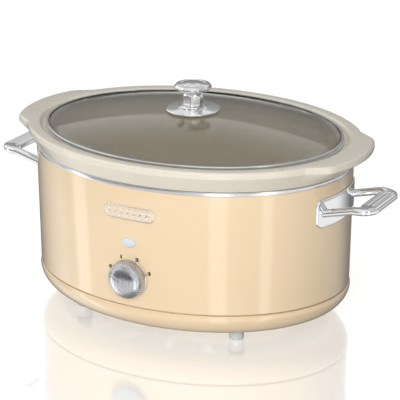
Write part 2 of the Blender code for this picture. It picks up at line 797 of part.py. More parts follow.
def heater():
    """The band heater round the well, its insulation, and the clamp that draws it tight."""
    rear = well_radius(71 * MM) * OVAL
    slot = box_mesh("band_slot", (9 * MM, 30 * MM, 60 * MM))
    band_slot = cutter("band_slot", slot, body, (0, rear, 71 * MM))
    profile = band_profile(BAND_LOW, BAND_TOP, 0.4 * MM, 2.4 * MM)
    mesh = turned_mesh("heater_band", profile, closed=True, oval=True)
    boolean(place("heater_band", mesh, body, mica), band_slot)

    wide_slot = box_mesh("wrap_slot", (32 * MM, 30 * MM, 60 * MM))
    wrap_slot = cutter("wrap_slot", wide_slot, body, (0, rear, 71 * MM))
    profile = band_profile(BAND_LOW + MM, BAND_TOP - MM, 3.3 * MM, 3.4 * MM)
    mesh = turned_mesh("insulation_wrap", profile, closed=True, oval=True)
    boolean(place("insulation_wrap", mesh, body, glass_wool), wrap_slot)

    outside = rear + (0.4 + 2.4) * MM * OVAL
    clamp = place("clamp", box_mesh("clamp", (26 * MM, 2.0 * MM, 12 * MM)), None, zinc)
    bore = cutter("clamp_bore", cylinder_mesh("clamp_bore", 1.9 * MM, -4 * MM, 4 * MM, 12))
    bore.rotation_euler = (math.radians(90), 0, 0)
    boolean(clamp, bore)
    mesh = applied_mesh(clamp, "band_clamp")
    place("band_clamp", mesh, body, zinc, (0, outside + 2.2 * MM, 71 * MM))
    screw = screw_mesh("band_clamp_screw", 1.5 * MM, 2.9 * MM, 1.8 * MM, 4.6 * MM)
    lean = (math.radians(90), 0, 0)
    place("band_clamp_screw", screw, body, zinc, (0, outside + 3.6 * MM, 71 * MM), lean)


def thermal_fuse():
    """The one-shot fuse and the clip that holds it up against the well's floor."""
    mesh = cylinder_mesh("thermal_fuse", 2.0 * MM, -5.5 * MM, 5.5 * MM, 12)
    place("thermal_fuse", mesh, body, brass, (12 * MM, 24 * MM, 2.4 * MM), (0, math.pi / 2, 0))
    strap = [(-6.0, 4.9), (-6.0, 4.4), (-2.8, 4.4), (-2.8, -0.3), (2.8, -0.3), (2.8, 4.4)]
    strap += [(6.0, 4.4), (6.0, 4.9), (2.3, 4.9), (2.3, 0.2), (-2.3, 0.2), (-2.3, 4.9)]
    mesh = prism_mesh("fuse_clip", mm(*strap), -2.5 * MM, 2.5 * MM)
    turn = (math.radians(90), 0, math.radians(90))
    place("fuse_clip", mesh, body, zinc, (12 * MM, 24 * MM, 0), turn)


def terminal_block():
    """The block on the pan's floor where the supply joins the leads."""
    obj = place(
        "terminal_block",
        box_mesh("terminal_block", (30 * MM, 14 * MM, 11 * MM)),
        body,
        white_plastic,
        (0, 74 * MM, PAN_FLOOR + PAN_SHEET + 5.8 * MM),
    )
    round_edges(obj, 1.0 * MM)
    for index, x in enumerate((-9.0, 0.0, 9.0)):
        well = cylinder_mesh("clamp_well", 2.2 * MM, -3 * MM, 3 * MM, 10)
        spot = (x * MM, 74 * MM, PAN_FLOOR + PAN_SHEET + 12.4 * MM)
        boolean(obj, cutter(f"clamp_well_{index}", well, body, spot))


def cord_gland():
    """The inlet for the supply cord at the back, with its lock collar inside the casing."""
    rear = casing_radius(GLAND_Z) * OVAL / MM
    gland = mm(
        (7.6, rear + 3.4), (8.2, rear + 2.8), (8.2, rear + 0.4), (5.8, rear + 0.4),
        (5.8, rear - 6.0), (3.6, rear - 6.0), (3.6, rear + 3.4),
    )
    backward = (math.radians(-90), 0, 0)
    mesh = turned_mesh("cord_gland", gland, 20, closed=True)
    place("cord_gland", mesh, body, black_plastic, (0, 0, GLAND_Z), backward)
    collar = mm((8.0, rear - 1.5), (8.0, rear - 4.2), (6.1, rear - 4.2), (6.1, rear - 1.5))
    mesh = turned_mesh("gland_collar", collar, 16, closed=True)
    place("gland_collar", mesh, body, black_plastic, (0, 0, GLAND_Z), backward)


def lead(name, points, finish, radius=1.1 * MM):
    """An insulated lead along a hand-laid route, smoothed through its points."""
    fine = []
    route = [Vector(point) for point in mm(*points)]
    ends = [route[0] * 2 - route[1], *route, route[-1] * 2 - route[-2]]
    for a, b, c, d in zip(ends, ends[1:], ends[2:], ends[3:]):
        for step in range(2):
            t = step / 2
            fine.append(
                0.5 * (2 * b + (c - a) * t + (2 * a - 5 * b + 4 * c - d) * t * t
                + (3 * b - a - 3 * c + d) * t * t * t)
            )
    fine.append(route[-1])
    curve = bpy.data.curves.new(name, "CURVE")
    curve.dimensions = "3D"
    curve.bevel_depth = radius
    curve.bevel_resolution = 2
    curve.use_fill_caps = True
    spline = curve.splines.new("POLY")
    spline.points.add(len(fine) - 1)
    for point, spot in zip(spline.points, fine):
        point.co = (*spot, 1.0)
    curve.materials.append(finish)
    obj = bpy.data.objects.new(name, curve)
    parts.objects.link(obj)
    obj.parent = body


def leads():
    """The leads between the terminal block, fuse, switch, heater and lamp."""
    lead(
        "lead_block_to_switch",
        [(-9, 64.5, -14), (-14, 48, -17), (-20, 0, -18), (-16, -60, -17), (-12, -95, -8),
         (-8, -109, 8), (-6, -110.4, 24)],
        lead_brown,
    )
    lead(
        "lead_switch_to_fuse",
        [(0, -110.4, 24), (1, -109, 8), (5, -96, -8), (10, -50, -13), (12, -6, -12),
         (9, 14, -6), (4.9, 23.8, 2.2)],
        lead_brown,
    )
    lead(
        "lead_fuse_to_heater",
        [(19.1, 24.2, 2.2), (27, 34, -7), (28, 70, -12), (22, 108, 2), (15, 116, 26),
         (9, 118.6, 44), (8, 118.6, 49.5)],
        lead_brown,
    )
    lead(
        "lead_heater_to_block",
        [(-8, 118.6, 49.5), (-9, 118.6, 44), (-14, 116, 26), (-17, 108, 4), (-14, 96, -10),
         (-4, 88, -14), (0, 83.2, -14)],
        lead_blue,
    )
    lead(
        "lead_lamp",
        [(-7.2, -122.9, 66.7), (-12, -122.3, 62), (-17, -121.6, 50), (-19, -118.8, 30),
         (-20, -112, 6), (-24, -96, -10), (-29, -40, -13), (-29, 30, -13), (-27, 56, -16),
         (-22, 68, -17), (-15.5, 71, -17)],
        lead_blue,
    )
    lead(
        "lead_earth",
        [(9, 64.5, -14), (14, 50, -16), (26, 20, -17), (36, 6, -17), (43, 2, -14)],
        lead_green,
    )


# Building

for old in list(bpy.data.objects):
    bpy.data.objects.remove(old)

parts = bpy.data.collections.new("slow_cooker")
cutters = bpy.data.collections.new("cutters")
for group in (parts, cutters):
    bpy.context.scene.collection.children.link(group)

cream = material("cream_paint", (0.87, 0.68, 0.46), 0.25)
glaze = material("glazed_stoneware", (0.82, 0.77, 0.66), 0.2)
chrome = material("chrome", (0.86, 0.86, 0.87), 0.08, 1.0)
bright_steel = material("bright_steel", (0.78, 0.78, 0.78), 0.22, 1.0)
brushed = material("brushed_metal", (0.66, 0.66, 0.67), 0.32, 1.0)
dull_steel = material("aluminised_steel", (0.55, 0.55, 0.54), 0.5, 1.0)
zinc = material("zinc_plate", (0.62, 0.63, 0.62), 0.4, 1.0)
brass = material("brass", (0.75, 0.58, 0.28), 0.35, 1.0)
smoked = material("lid_glass", (0.80, 0.80, 0.78), 0.05)
clear_white = material("pale_rubber", (0.86, 0.86, 0.84), 0.45)
lamp_clear = material("clear_lens", (0.85, 0.90, 0.95), 0.12)
black_plastic = material("black_plastic", (0.03, 0.03, 0.03), 0.45)
white_plastic = material("white_plastic", (0.85, 0.84, 0.80), 0.4)
mica = material("mica_band", (0.42, 0.33, 0.22), 0.6)
glass_wool = material("glass_fibre_mat", (0.85, 0.83, 0.76), 0.9)
lead_brown = material("brown_lead", (0.20, 0.09, 0.04), 0.5)
lead_blue = material("blue_lead", (0.08, 0.20, 0.50), 0.5)
lead_green = material("green_lead", (0.15, 0.45, 0.12), 0.5)

body = empty("cooker_centre", (0, CENTRE_Y, SEAM_HEIGHT))

casing()
top_ring()
heating_well()
base_pan()
feet()
tie_posts()
handles()
badge()
indicator()
control()
crock()
lid()
heater()
thermal_fuse()
terminal_block()
cord_gland()
leads()
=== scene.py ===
"""Looks of an oval slow cooker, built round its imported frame.

Every oval piece shares one centre line and is described by its half width along X (a
"radius"), in millimetres, and by its height above the seam between casing and base pan.
The outlines are drawn in that system and set in the frame by a Datum.
"""

import json
import logging
import math
from dataclasses import dataclass, field
from enum import Enum
from typing import Callable, Iterable, Sequence

import bmesh
import bpy
import numpy as np
from mathutils import Matrix, Vector


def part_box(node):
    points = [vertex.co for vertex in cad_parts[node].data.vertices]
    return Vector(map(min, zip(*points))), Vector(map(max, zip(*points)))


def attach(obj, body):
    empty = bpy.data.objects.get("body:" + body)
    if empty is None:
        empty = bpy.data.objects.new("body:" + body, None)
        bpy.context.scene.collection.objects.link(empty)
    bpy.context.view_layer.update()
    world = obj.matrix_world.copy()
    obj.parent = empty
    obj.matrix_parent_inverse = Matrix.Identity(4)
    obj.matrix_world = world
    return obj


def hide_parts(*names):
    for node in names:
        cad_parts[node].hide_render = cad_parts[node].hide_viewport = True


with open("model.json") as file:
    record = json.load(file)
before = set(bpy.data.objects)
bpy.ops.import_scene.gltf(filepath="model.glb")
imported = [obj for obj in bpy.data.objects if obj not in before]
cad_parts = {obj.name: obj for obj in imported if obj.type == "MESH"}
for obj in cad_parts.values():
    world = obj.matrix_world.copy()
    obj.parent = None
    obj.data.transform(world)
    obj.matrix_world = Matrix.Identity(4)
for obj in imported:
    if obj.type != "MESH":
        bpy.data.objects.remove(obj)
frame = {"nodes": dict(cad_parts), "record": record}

MM = 0.001
FINE_STEPS = 288

Outline = list[tuple[float, float]]
Colour = tuple[float, float, float]
log = logging.getLogger("slow_cooker")


# Frame


@dataclass(frozen=True)
class Datum:
    """The shared centre line and reference sizes, read from the frame's boxes."""

    centre: Vector
    seam: float
    oval: float
    casing_radius_top: float
    taper: float = 1.6
    wall: float = 122.4

    @classmethod
    def from_frame(cls) -> "Datum":
        """Reads the datum from the CAD nodes.

        Returns:
            The datum of this cooker.
        """
        low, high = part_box("casing")
        half = (high - low) / 2
        seam = low.z - 0.3 * MM
        centre = Vector((0.0, (low.y + high.y) / 2, 0.0))
        log.info("seam %.4f m, centre y %.4f m", seam, centre.y)
        return cls(centre, seam, half.y / half.x, half.x / MM)

    def origin(self) -> Vector:
        """Gives the point on the centre line at the seam's height."""
        return Vector((self.centre.x, self.centre.y, self.seam))

    def casing_radius(self, height: float) -> float:
        """Gives the casing's half width at a height above the seam.

        Args:
            height: Height above the seam, in millimetres.

        Returns:
            The half width, in millimetres.
        """
        return self.casing_radius_top - self.taper * (1 - height / self.wall)


class Axis(Enum):
    """Which way a turned piece's own axis points."""

    UP = "up"
    FORWARD = "forward"
    BACKWARD = "backward"

    def matrix(self) -> Matrix:
        """Gives the turn from the drawing's up axis to this one."""
        degrees = {Axis.UP: 0.0, Axis.FORWARD: 90.0, Axis.BACKWARD: -90.0}[self]
        return Matrix.Rotation(math.radians(degrees), 4, "X")


# Mesh tools


def arc(centre: Sequence[float], radii: Sequence[float], start: float, end: float,
        count: int = 10) -> Outline:
    """Draws an elliptical arc.

    Args:
        centre: Centre of the arc.
        radii: Half width and half height.
        start: First angle in degrees, from the first axis.
        end: Last angle in degrees.
        count: Number of spans.

    Returns:
        The points of the arc, both ends included.
    """
    angles = [math.radians(start + (end - start) * i / count) for i in range(count + 1)]
    return [(centre[0] + radii[0] * math.cos(a), centre[1] + radii[1] * math.sin(a))
            for a in angles]


def filleted(corners: Sequence[Sequence[float]], closed: bool = True,
             spans: int = 5) -> Outline:
    """Rounds the corners of an outline.

    Args:
        corners: Points as (x, y) or (x, y, fillet radius).
        closed: Whether the last point joins the first.
        spans: Spans of each fillet.

    Returns:
        The outline with a round curve in place of each corner that has a radius.
    """
    made: Outline = []
    count = len(corners)
    for i, corner in enumerate(corners):
        radius = corner[2] if len(corner) > 2 else 0.0
        here = Vector(corner[:2])
        if radius <= 0 or (not closed and i in (0, count - 1)):
            made.append((here.x, here.y))
            continue
        before = Vector(corners[i - 1][:2]) - here
        after = Vector(corners[(i + 1) % count][:2]) - here
        half_turn = before.angle(after) / 2
        reach = radius / max(math.tan(half_turn), 1e-6)
        reach = min(reach, before.length * 0.49, after.length * 0.49)
        first = here + before.normalized() * reach
        last = here + after.normalized() * reach
        for step in range(spans + 1):
            t = step / spans
            spot = first * (1 - t) ** 2 + here * 2 * t * (1 - t) + last * t * t
            made.append((spot.x, spot.y))
    return made


def spline(points: Sequence[Sequence[float]], spans: int = 6) -> Outline:
    """Runs a smooth curve through points.

    Args:
        points: The points that the curve passes.
        spans: Spans between one point and the next.

    Returns:
        The points of the curve.
    """
    route = [Vector(p[:2]) for p in points]
    ends = [route[0] * 2 - route[1], *route, route[-1] * 2 - route[-2]]
    made: Outline = []
    for a, b, c, d in zip(ends, ends[1:], ends[2:], ends[3:]):
        for step in range(spans):
            t = step / spans
            spot = 0.5 * (2 * b + (c - a) * t + (2 * a - 5 * b + 4 * c - d) * t ** 2
                          + (3 * b - a - 3 * c + d) * t ** 3)
            made.append((spot.x, spot.y))
    made.append((route[-1].x, route[-1].y))
    return made


def grid_mesh(name: str, rings: Sequence[np.ndarray], around: bool = True,
              along: bool = False) -> bpy.types.Mesh:
    """Skins rings of points into a mesh, with its faces turned out.

    Args:
        name: Name of the mesh.
        rings: Arrays of points in metres, all of one length.
        around: Whether each ring is closed.
        along: Whether the last ring joins the first.

    Returns:
        The mesh, with points that coincide merged.
    """
    size = len(rings[0])
    rows = len(rings)
    faces = []
    for row in range(rows if along else rows - 1):
        after = (row + 1) % rows
        for i in range(size if around else size - 1):
            j = (i + 1) % size
            faces.append((row * size + i, row * size + j, after * size + j, after * size + i))
    mesh = bpy.data.meshes.new(name)
    mesh.from_pydata(np.concatenate(rings).tolist(), [], faces)
    shape = bmesh.new()
    shape.from_mesh(mesh)
    bmesh.ops.remove_doubles(shape, verts=shape.verts, dist=2e-6)
    bmesh.ops.dissolve_degenerate(shape, edges=shape.edges, dist=1e-7)
    bmesh.ops.recalc_face_normals(shape, faces=shape.faces)
    shape.to_mesh(mesh)
    shape.free()
    return mesh


def turned(name: str, outline: Outline, datum: Datum, oval: bool = True, closed: bool = True,
           steps: int = FINE_STEPS, at: Sequence[float] = (0.0, 0.0, 0.0),
           axis: Axis = Axis.UP,
           shape: Callable[[float, np.ndarray], np.ndarray] | None = None) -> bpy.types.Object:
    """Turns an outline about its axis.

    Args:
        name: Name of the piece.
        outline: Points as (radius, height), in millimetres.
        datum: The shared centre line.
        oval: Whether the piece is squeezed along Y like the casing.
        closed: Whether the outline's last point joins its first.
        steps: Facets round the piece.
        at: Place of the piece's axis from the datum, in millimetres.
        axis: Which way the axis points.
        shape: Gives the reach at each angle for a point's (radius, height).

    Returns:
        The piece, in place.
    """
    angles = np.linspace(0, 2 * math.pi, steps, endpoint=False)
    squeeze = datum.oval if oval else 1.0
    rings = []
    for radius, height in outline:
        reach = np.full(steps, radius)
        if shape is not None:
            reach = shape((radius, height), angles)
        ring = np.stack([reach * np.cos(angles), squeeze * reach * np.sin(angles),
                         np.full(steps, height)], axis=1)
        rings.append(ring * MM)
    mesh = grid_mesh(name, rings, along=closed)
    mesh.transform(Matrix.Translation(datum.origin() + Vector(at) * MM) @ axis.matrix())
    return piece(name, mesh)


def piece(name: str, mesh: bpy.types.Mesh, sharp: float = 38.0) -> bpy.types.Object:
    """Links a mesh into the scene, shaded smooth but for its sharp edges.

    Args:
        name: Name of the piece.
        mesh: Its mesh.
        sharp: Angle in degrees past which an edge stays sharp.

    Returns:
        The new object.
    """
    obj = bpy.data.objects.new(name, mesh)
    bpy.context.scene.collection.objects.link(obj)
    mesh.shade_smooth()
    mesh.set_sharp_from_angle(angle=math.radians(sharp))
    return obj


def cut(obj: bpy.types.Object, cutters: Iterable[bpy.types.Object]) -> None:
    """Cuts holes through a piece and applies them.

    Args:
        obj: The piece to cut.
        cutters: Closed helper meshes, which are removed afterwards.
    """
    helpers = list(cutters)
    for helper in helpers:
        modifier = obj.modifiers.new(helper.name, "BOOLEAN")
        modifier.object = helper
        modifier.solver = "EXACT"
    bpy.context.view_layer.update()
    graph = bpy.context.evaluated_depsgraph_get()
    mesh = bpy.data.meshes.new_from_object(obj.evaluated_get(graph))
    obj.modifiers.clear()
    obj.data = mesh
    for helper in helpers:
        bpy.data.objects.remove(helper)


def peg(name: str, radius: float, low: float, high: float, at: Vector) -> bpy.types.Object:
    """Makes a round upright helper for cutting holes.

    Args:
        name: Name of the helper.
        radius: Its radius, in millimetres.
        low: Its lowest point from `at`, in millimetres.
        high: Its highest point from `at`, in millimetres.
        at: Where it stands, in metres.

    Returns:
        The helper object.
    """
    shape = bmesh.new()
    middle = Matrix.Translation((0, 0, (low + high) / 2 * MM))
    bmesh.ops.create_cone(shape, cap_ends=True, segments=40, radius1=radius * MM,
                          radius2=radius * MM, depth=(high - low) * MM, matrix=middle)
    mesh = bpy.data.meshes.new(name)
    shape.to_mesh(mesh)
    shape.free()
    obj = piece(name, mesh)
    obj.location = at
    return obj


def dress(obj: bpy.types.Object, material: bpy.types.Material, body: str, slot: str,
          *nodes: str) -> bpy.types.Object:
    """Gives a finished piece its material, its body and the nodes that it stands for.

    Args:
        obj: The piece.
        material: Its material.
        body: The body that it rides on.
        slot: The record's material slot; not used.
        *nodes: CAD nodes that it replaces.

    Returns:
        The piece.
    """
    obj.data.materials.clear()
    obj.data.materials.append(material)
    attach(obj, body)
    if nodes:
        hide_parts(*nodes)
    log.info("%s on %s", obj.name, body)
    return obj


# Shader tools


class NodeGraph:
    """A node tree under construction, whose helpers add and join nodes."""

    def __init__(self, tree: bpy.types.NodeTree) -> None:
        """Keeps the tree.

        Args:
            tree: The node tree to fill.
        """
        self.tree = tree

    def add(self, kind: str, inputs: dict | None = None, **settings: object) -> bpy.types.Node:
        """Adds a node.

        Args:
            kind: The node type's own name.
            inputs: Values or output sockets, by input name or index.
            **settings: Attributes of the node.

        Returns:
            The new node.
        """
        node = self.tree.nodes.new(kind)
        for name, value in settings.items():
            setattr(node, name, value)
        for name, value in (inputs or {}).items():
            self.feed(node.inputs[name], value)
        return node

    def feed(self, socket: bpy.types.NodeSocket, value: object) -> None:
        """Joins an output to a socket, or sets the socket's own value.

        Args:
            socket: The input socket.
            value: An output socket or a plain value.
        """
        if isinstance(value, bpy.types.NodeSocket):
            self.tree.links.new(value, socket)
        else:
            socket.default_value = value

    def math(self, operation: str, *values: object) -> bpy.types.NodeSocket:
        """Adds a Math node and gives its output.

        Args:
            operation: The operation's name.
            *values: Its inputs, as values or sockets.

        Returns:
            The result's socket.
        """
        node = self.add("ShaderNodeMath", operation=operation)
        for socket, value in zip(node.inputs, values):
            self.feed(socket, value)
        return node.outputs[0]

    def ramp(self, value: object, low: float, high: float, to_low: float = 0.0,
             to_high: float = 1.0) -> bpy.types.NodeSocket:
        """Maps a value smoothly from one range to another.

        Args:
            value: The value's socket.
            low: Start of the range it comes in.
            high: End of that range.
            to_low: Start of the range it goes to.
            to_high: End of that range.

        Returns:
            The mapped value's socket.
        """
        node = self.add("ShaderNodeMapRange", interpolation_type="SMOOTHSTEP")
        for name, number in (("Value", value), ("From Min", low), ("From Max", high),
                             ("To Min", to_low), ("To Max", to_high)):
            self.feed(node.inputs[name], number)
        return node.outputs["Result"]


def colour4(colour: Colour) -> tuple[float, float, float, float]:
    """Gives a colour with full alpha."""
    return (*colour, 1.0)


class Effect(Enum):
    """The surface effects that several materials share."""

    MOTTLE = "mottle"
    STREAKS = "streaks"
    SPECKS = "specks"
    WEAVE = "weave"


class EffectLibrary:
    """Builds each shared effect once, as a shader node group."""

    def __init__(self) -> None:
        """Starts with no groups."""
        self.groups: dict[Effect, bpy.types.NodeTree] = {}

    def group(self, effect: Effect) -> bpy.types.NodeTree:
        """Gives an effect's group, building it at first use.

        Args:
            effect: The effect wanted.

        Returns:
            Its node group.
        """
        if effect not in self.groups:
            tree = bpy.data.node_groups.new(effect.value, "ShaderNodeTree")
            for name, way in (("Scale", "INPUT"), ("Low", "INPUT"), ("High", "INPUT"),
                              ("Value", "OUTPUT")):
                tree.interface.new_socket(name, in_out=way, socket_type="NodeSocketFloat")
            graph = NodeGraph(tree)
            source = graph.add("NodeGroupInput")
            place = graph.add("ShaderNodeTexCoord").outputs["Object"]
            draw = {Effect.MOTTLE: self.mottle, Effect.STREAKS: self.streaks,
                    Effect.SPECKS: self.specks, Effect.WEAVE: self.weave}[effect]
            pattern = draw(graph, place, source.outputs["Scale"])
            spread = graph.add("ShaderNodeMapRange", {
                "Value": pattern, "To Min": source.outputs["Low"],
                "To Max": source.outputs["High"]})
            graph.add("NodeGroupOutput", {"Value": spread.outputs["Result"]})
            self.groups[effect] = tree
        return self.groups[effect]

    def mottle(self, graph: NodeGraph, place: bpy.types.NodeSocket,
               scale: bpy.types.NodeSocket) -> bpy.types.NodeSocket:
        """Soft cloudy variation.

        Args:
            graph: The group's graph.
            place: The coordinates to draw in.
            scale: How fine it is.

        Returns:
            The pattern, from 0 to 1.
        """
        noise = graph.add("ShaderNodeTexNoise", {"Vector": place, "Scale": scale, "Detail": 4.0,
                                                 "Roughness": 0.55})
        return graph.ramp(noise.outputs["Fac"], 0.3, 0.7)

    def streaks(self, graph: NodeGraph, place: bpy.types.NodeSocket,
                scale: bpy.types.NodeSocket) -> bpy.types.NodeSocket:
        """Fine parallel brush lines, seen on faces that look forward or up.

        Args:
            graph: The group's graph.
            place: The coordinates to draw in.
            scale: How fine it is.

        Returns:
            The pattern, from 0 to 1.
        """
        turn = graph.add("ShaderNodeMapping", {
            "Vector": place, "Rotation": (0.0, math.radians(38), 0.0),
            "Scale": (1.0, 1.0, 0.035)})
        noise = graph.add("ShaderNodeTexNoise", {"Vector": turn.outputs[0], "Scale": scale,
                                                 "Detail": 3.0, "Roughness": 0.6})
        return graph.ramp(noise.outputs["Fac"], 0.32, 0.68)

    def specks(self, graph: NodeGraph, place: bpy.types.NodeSocket,
               scale: bpy.types.NodeSocket) -> bpy.types.NodeSocket:
        """Sparse small round spots.

        Args:
            graph: The group's graph.
            place: The coordinates to draw in.
            scale: How fine it is.

        Returns:
            The pattern, from 0 to 1.
        """
        cells = graph.add("ShaderNodeTexVoronoi", {"Vector": place, "Scale": scale})
        chosen = graph.ramp(cells.outputs["Color"], 0.78, 0.80)
        near = graph.ramp(cells.outputs["Distance"], 0.16, 0.07)
        return graph.math("MULTIPLY", chosen, near)

    def weave(self, graph: NodeGraph, place: bpy.types.NodeSocket,
              scale: bpy.types.NodeSocket) -> bpy.types.NodeSocket:
        """Crossed threads.

        Args:
            graph: The group's graph.
            place: The coordinates to draw in.
            scale: How fine it is.

        Returns:
            The pattern, from 0 to 1.
        """
        waves = [graph.add("ShaderNodeTexWave", {"Vector": place, "Scale": scale,
                                                 "Distortion": 0.8}, bands_direction=way)
                 for way in ("X", "Z")]
        return graph.math("MAXIMUM", waves[0].outputs["Fac"], waves[1].outputs["Fac"])


EFFECTS = EffectLibrary()


class Paint:
    """A material being made: its Principled shader and the effects that feed it."""

    def __init__(self, name: str, colour: Colour, roughness: float,
                 metallic: float = 0.0) -> None:
        """Makes the material with its plain values.

        Args:
            name: Name of the material.
            colour: Base colour, linear.
            roughness: Roughness.
            metallic: Metallic value.
        """
        self.material = bpy.data.materials.new(name)
        self.material.use_nodes = True
        self.graph = NodeGraph(self.material.node_tree)
        self.shader = self.material.node_tree.nodes["Principled BSDF"]
        self.set(**{"Base Color": colour4(colour), "Roughness": roughness,
                    "Metallic": metallic})
        self.colour = colour

    def set(self, **values: object) -> "Paint":
        """Sets sockets of the shader by name, with spaces allowed in the names."""
        for name, value in values.items():
            self.graph.feed(self.shader.inputs[name], value)
        return self

    def effect(self, kind: Effect, scale: float, low: float = 0.0,
               high: float = 1.0) -> bpy.types.NodeSocket:
        """Places a shared effect.

        Args:
            kind: The effect.
            scale: How fine it is, per metre.
            low: Its lowest value.
            high: Its highest value.

        Returns:
            The effect's output socket.
        """
        node = self.graph.add("ShaderNodeGroup", node_tree=EFFECTS.group(kind))
        for name, value in (("Scale", scale), ("Low", low), ("High", high)):
            node.inputs[name].default_value = value
        return node.outputs["Value"]

    def rough(self, kind: Effect, scale: float, low: float, high: float) -> "Paint":
        """Drives the roughness with an effect between two values."""
        return self.set(Roughness=self.effect(kind, scale, low, high))

    def tint(self, other: Colour, mask: bpy.types.NodeSocket) -> "Paint":
        """Mixes another colour into the base colour.

        Args:
            other: The colour where the mask is 1.
            mask: The mask's socket.

        Returns:
            This paint.
        """
        base = self.shader.inputs["Base Color"]
        now = base.links[0].from_socket if base.is_linked else colour4(self.colour)
        mix = self.graph.add("ShaderNodeMix", data_type="RGBA")
        self.graph.feed(mix.inputs["Factor"], mask)
        self.graph.feed(mix.inputs[6], now)
        self.graph.feed(mix.inputs[7], colour4(other))
        self.graph.feed(base, mix.outputs[2])
        return self

    def bump(self, height: bpy.types.NodeSocket, distance: float,
             strength: float = 1.0) -> "Paint":
        """Adds relief that is too fine to model.

        Args:
            height: The height's socket, from 0 to 1.
            distance: Height of the relief, in metres.
            strength: How strongly it shows.

        Returns:
            This paint.
        """
        node = self.graph.add("ShaderNodeBump", {"Height": height, "Distance": distance,
                                                 "Strength": strength})
        normal = self.shader.inputs["Normal"]
        if normal.is_linked:
            self.graph.feed(node.inputs["Normal"], normal.links[0].from_socket)
        self.graph.feed(normal, node.outputs["Normal"])
        return self


# Finishes


@dataclass(frozen=True)
class Enamel:
    """Stoved gloss enamel on sheet steel."""

    name: str = "cream_enamel"
    colour: Colour = (0.85, 0.655, 0.425)
    shade: Colour = (0.80, 0.60, 0.375)
    roughness: float = 0.34

    def make(self) -> bpy.types.Material:
        """Builds the enamel: a cloudy tone, a faint orange peel and a clear gloss coat.

        Returns:
            The material.
        """
        paint = Paint(self.name, self.colour, self.roughness)
        paint.set(**{"Coat Weight": 1.0, "Coat Roughness": 0.07, "Coat IOR": 1.5})
        paint.tint(self.shade, paint.effect(Effect.MOTTLE, 9.0, 0.0, 0.35))
        paint.rough(Effect.MOTTLE, 60.0, self.roughness - 0.05, self.roughness + 0.06)
        peel = paint.effect(Effect.MOTTLE, 420.0)
        return paint.bump(peel, 0.00002, 0.5).material


@dataclass(frozen=True)
class Glaze:
    """Off-white gloss glaze over a buff stoneware body."""

    name: str = "stoneware_glaze"
    colour: Colour = (0.775, 0.72, 0.605)
    pooled: Colour = (0.73, 0.67, 0.555)
    fleck: Colour = (0.66, 0.58, 0.45)

    def make(self) -> bpy.types.Material:
        """Builds the glaze: pooled tones, sparse flecks and a soft ripple.

        Returns:
            The material.
        """
        paint = Paint(self.name, self.colour, 0.22)
        paint.set(**{"Coat Weight": 0.6, "Coat Roughness": 0.12})
        paint.tint(self.pooled, paint.effect(Effect.MOTTLE, 9.0, 0.0, 0.3))
        paint.tint(self.fleck, paint.effect(Effect.SPECKS, 420.0, 0.0, 0.2))
        paint.rough(Effect.MOTTLE, 45.0, 0.26, 0.34)
        return paint.bump(paint.effect(Effect.MOTTLE, 60.0), 0.00001, 0.2).material


@dataclass(frozen=True)
class Chrome:
    """Polished plated metal with faint wiping haze."""

    name: str = "polished_chrome"
    colour: Colour = (0.86, 0.865, 0.875)
    low: float = 0.05
    high: float = 0.14

    def make(self) -> bpy.types.Material:
        """Builds the plating, whose gloss varies with handling.

        Returns:
            The material.
        """
        paint = Paint(self.name, self.colour, self.low, 1.0)
        paint.rough(Effect.MOTTLE, 55.0, self.low, self.high)
        return paint.bump(paint.effect(Effect.MOTTLE, 180.0), 0.00002, 0.35).material


@dataclass(frozen=True)
class Brushed:
    """Metal with fine parallel brush lines."""

    name: str = "brushed_metal"
    colour: Colour = (0.66, 0.665, 0.68)
    dark: Colour = (0.40, 0.405, 0.42)
    scale: float = 1500.0
    low: float = 0.10
    high: float = 0.28

    def make(self) -> bpy.types.Material:
        """Builds the brushed metal.

        Returns:
            The material.
        """
        paint = Paint(self.name, self.colour, self.low, 1.0)
        paint.tint(self.dark, paint.effect(Effect.STREAKS, self.scale, 0.0, 0.8))
        paint.rough(Effect.STREAKS, self.scale * 0.7, self.low, self.high)
        return paint.bump(paint.effect(Effect.STREAKS, self.scale), 0.00004, 0.6).material


@dataclass(frozen=True)
class SheetSteel:
    """Rolled sheet metal, dull or bright, with a cloudy spangle."""

    name: str
    colour: Colour
    dark: Colour
    low: float
    high: float

    def make(self) -> bpy.types.Material:
        """Builds the sheet metal.

        Returns:
            The material.
        """
        paint = Paint(self.name, self.colour, self.low, 1.0)
        paint.tint(self.dark, paint.effect(Effect.MOTTLE, 90.0, 0.0, 0.7))
        paint.rough(Effect.MOTTLE, 140.0, self.low, self.high)
        return paint.bump(paint.effect(Effect.MOTTLE, 700.0), 0.00003, 0.4).material


@dataclass(frozen=True)
class LidGlass:
    """Tempered glass, faintly smoked, that lamps shine through."""

    name: str = "smoked_glass"
    colour: Colour = (0.665, 0.65, 0.61)
    shadow: Colour = (0.42, 0.41, 0.39)

    def make(self) -> bpy.types.Material:
        """Builds the glass, clear to the rays of lamps.

        Returns:
            The material.
        """
        paint = Paint(self.name, self.colour, 0.0)
        paint.set(**{"IOR": 1.5, "Transmission Weight": 1.0})
        paint.rough(Effect.MOTTLE, 30.0, 0.0, 0.02)
        graph = paint.graph
        clear = graph.add("ShaderNodeBsdfTransparent", {"Color": colour4(self.shadow)})
        rays = graph.add("ShaderNodeLightPath")
        mix = graph.add("ShaderNodeMixShader", {
            0: rays.outputs["Is Shadow Ray"], 1: paint.shader.outputs[0], 2: clear.outputs[0]})
        output = paint.material.node_tree.nodes["Material Output"]
        graph.feed(output.inputs["Surface"], mix.outputs[0])
        return paint.material


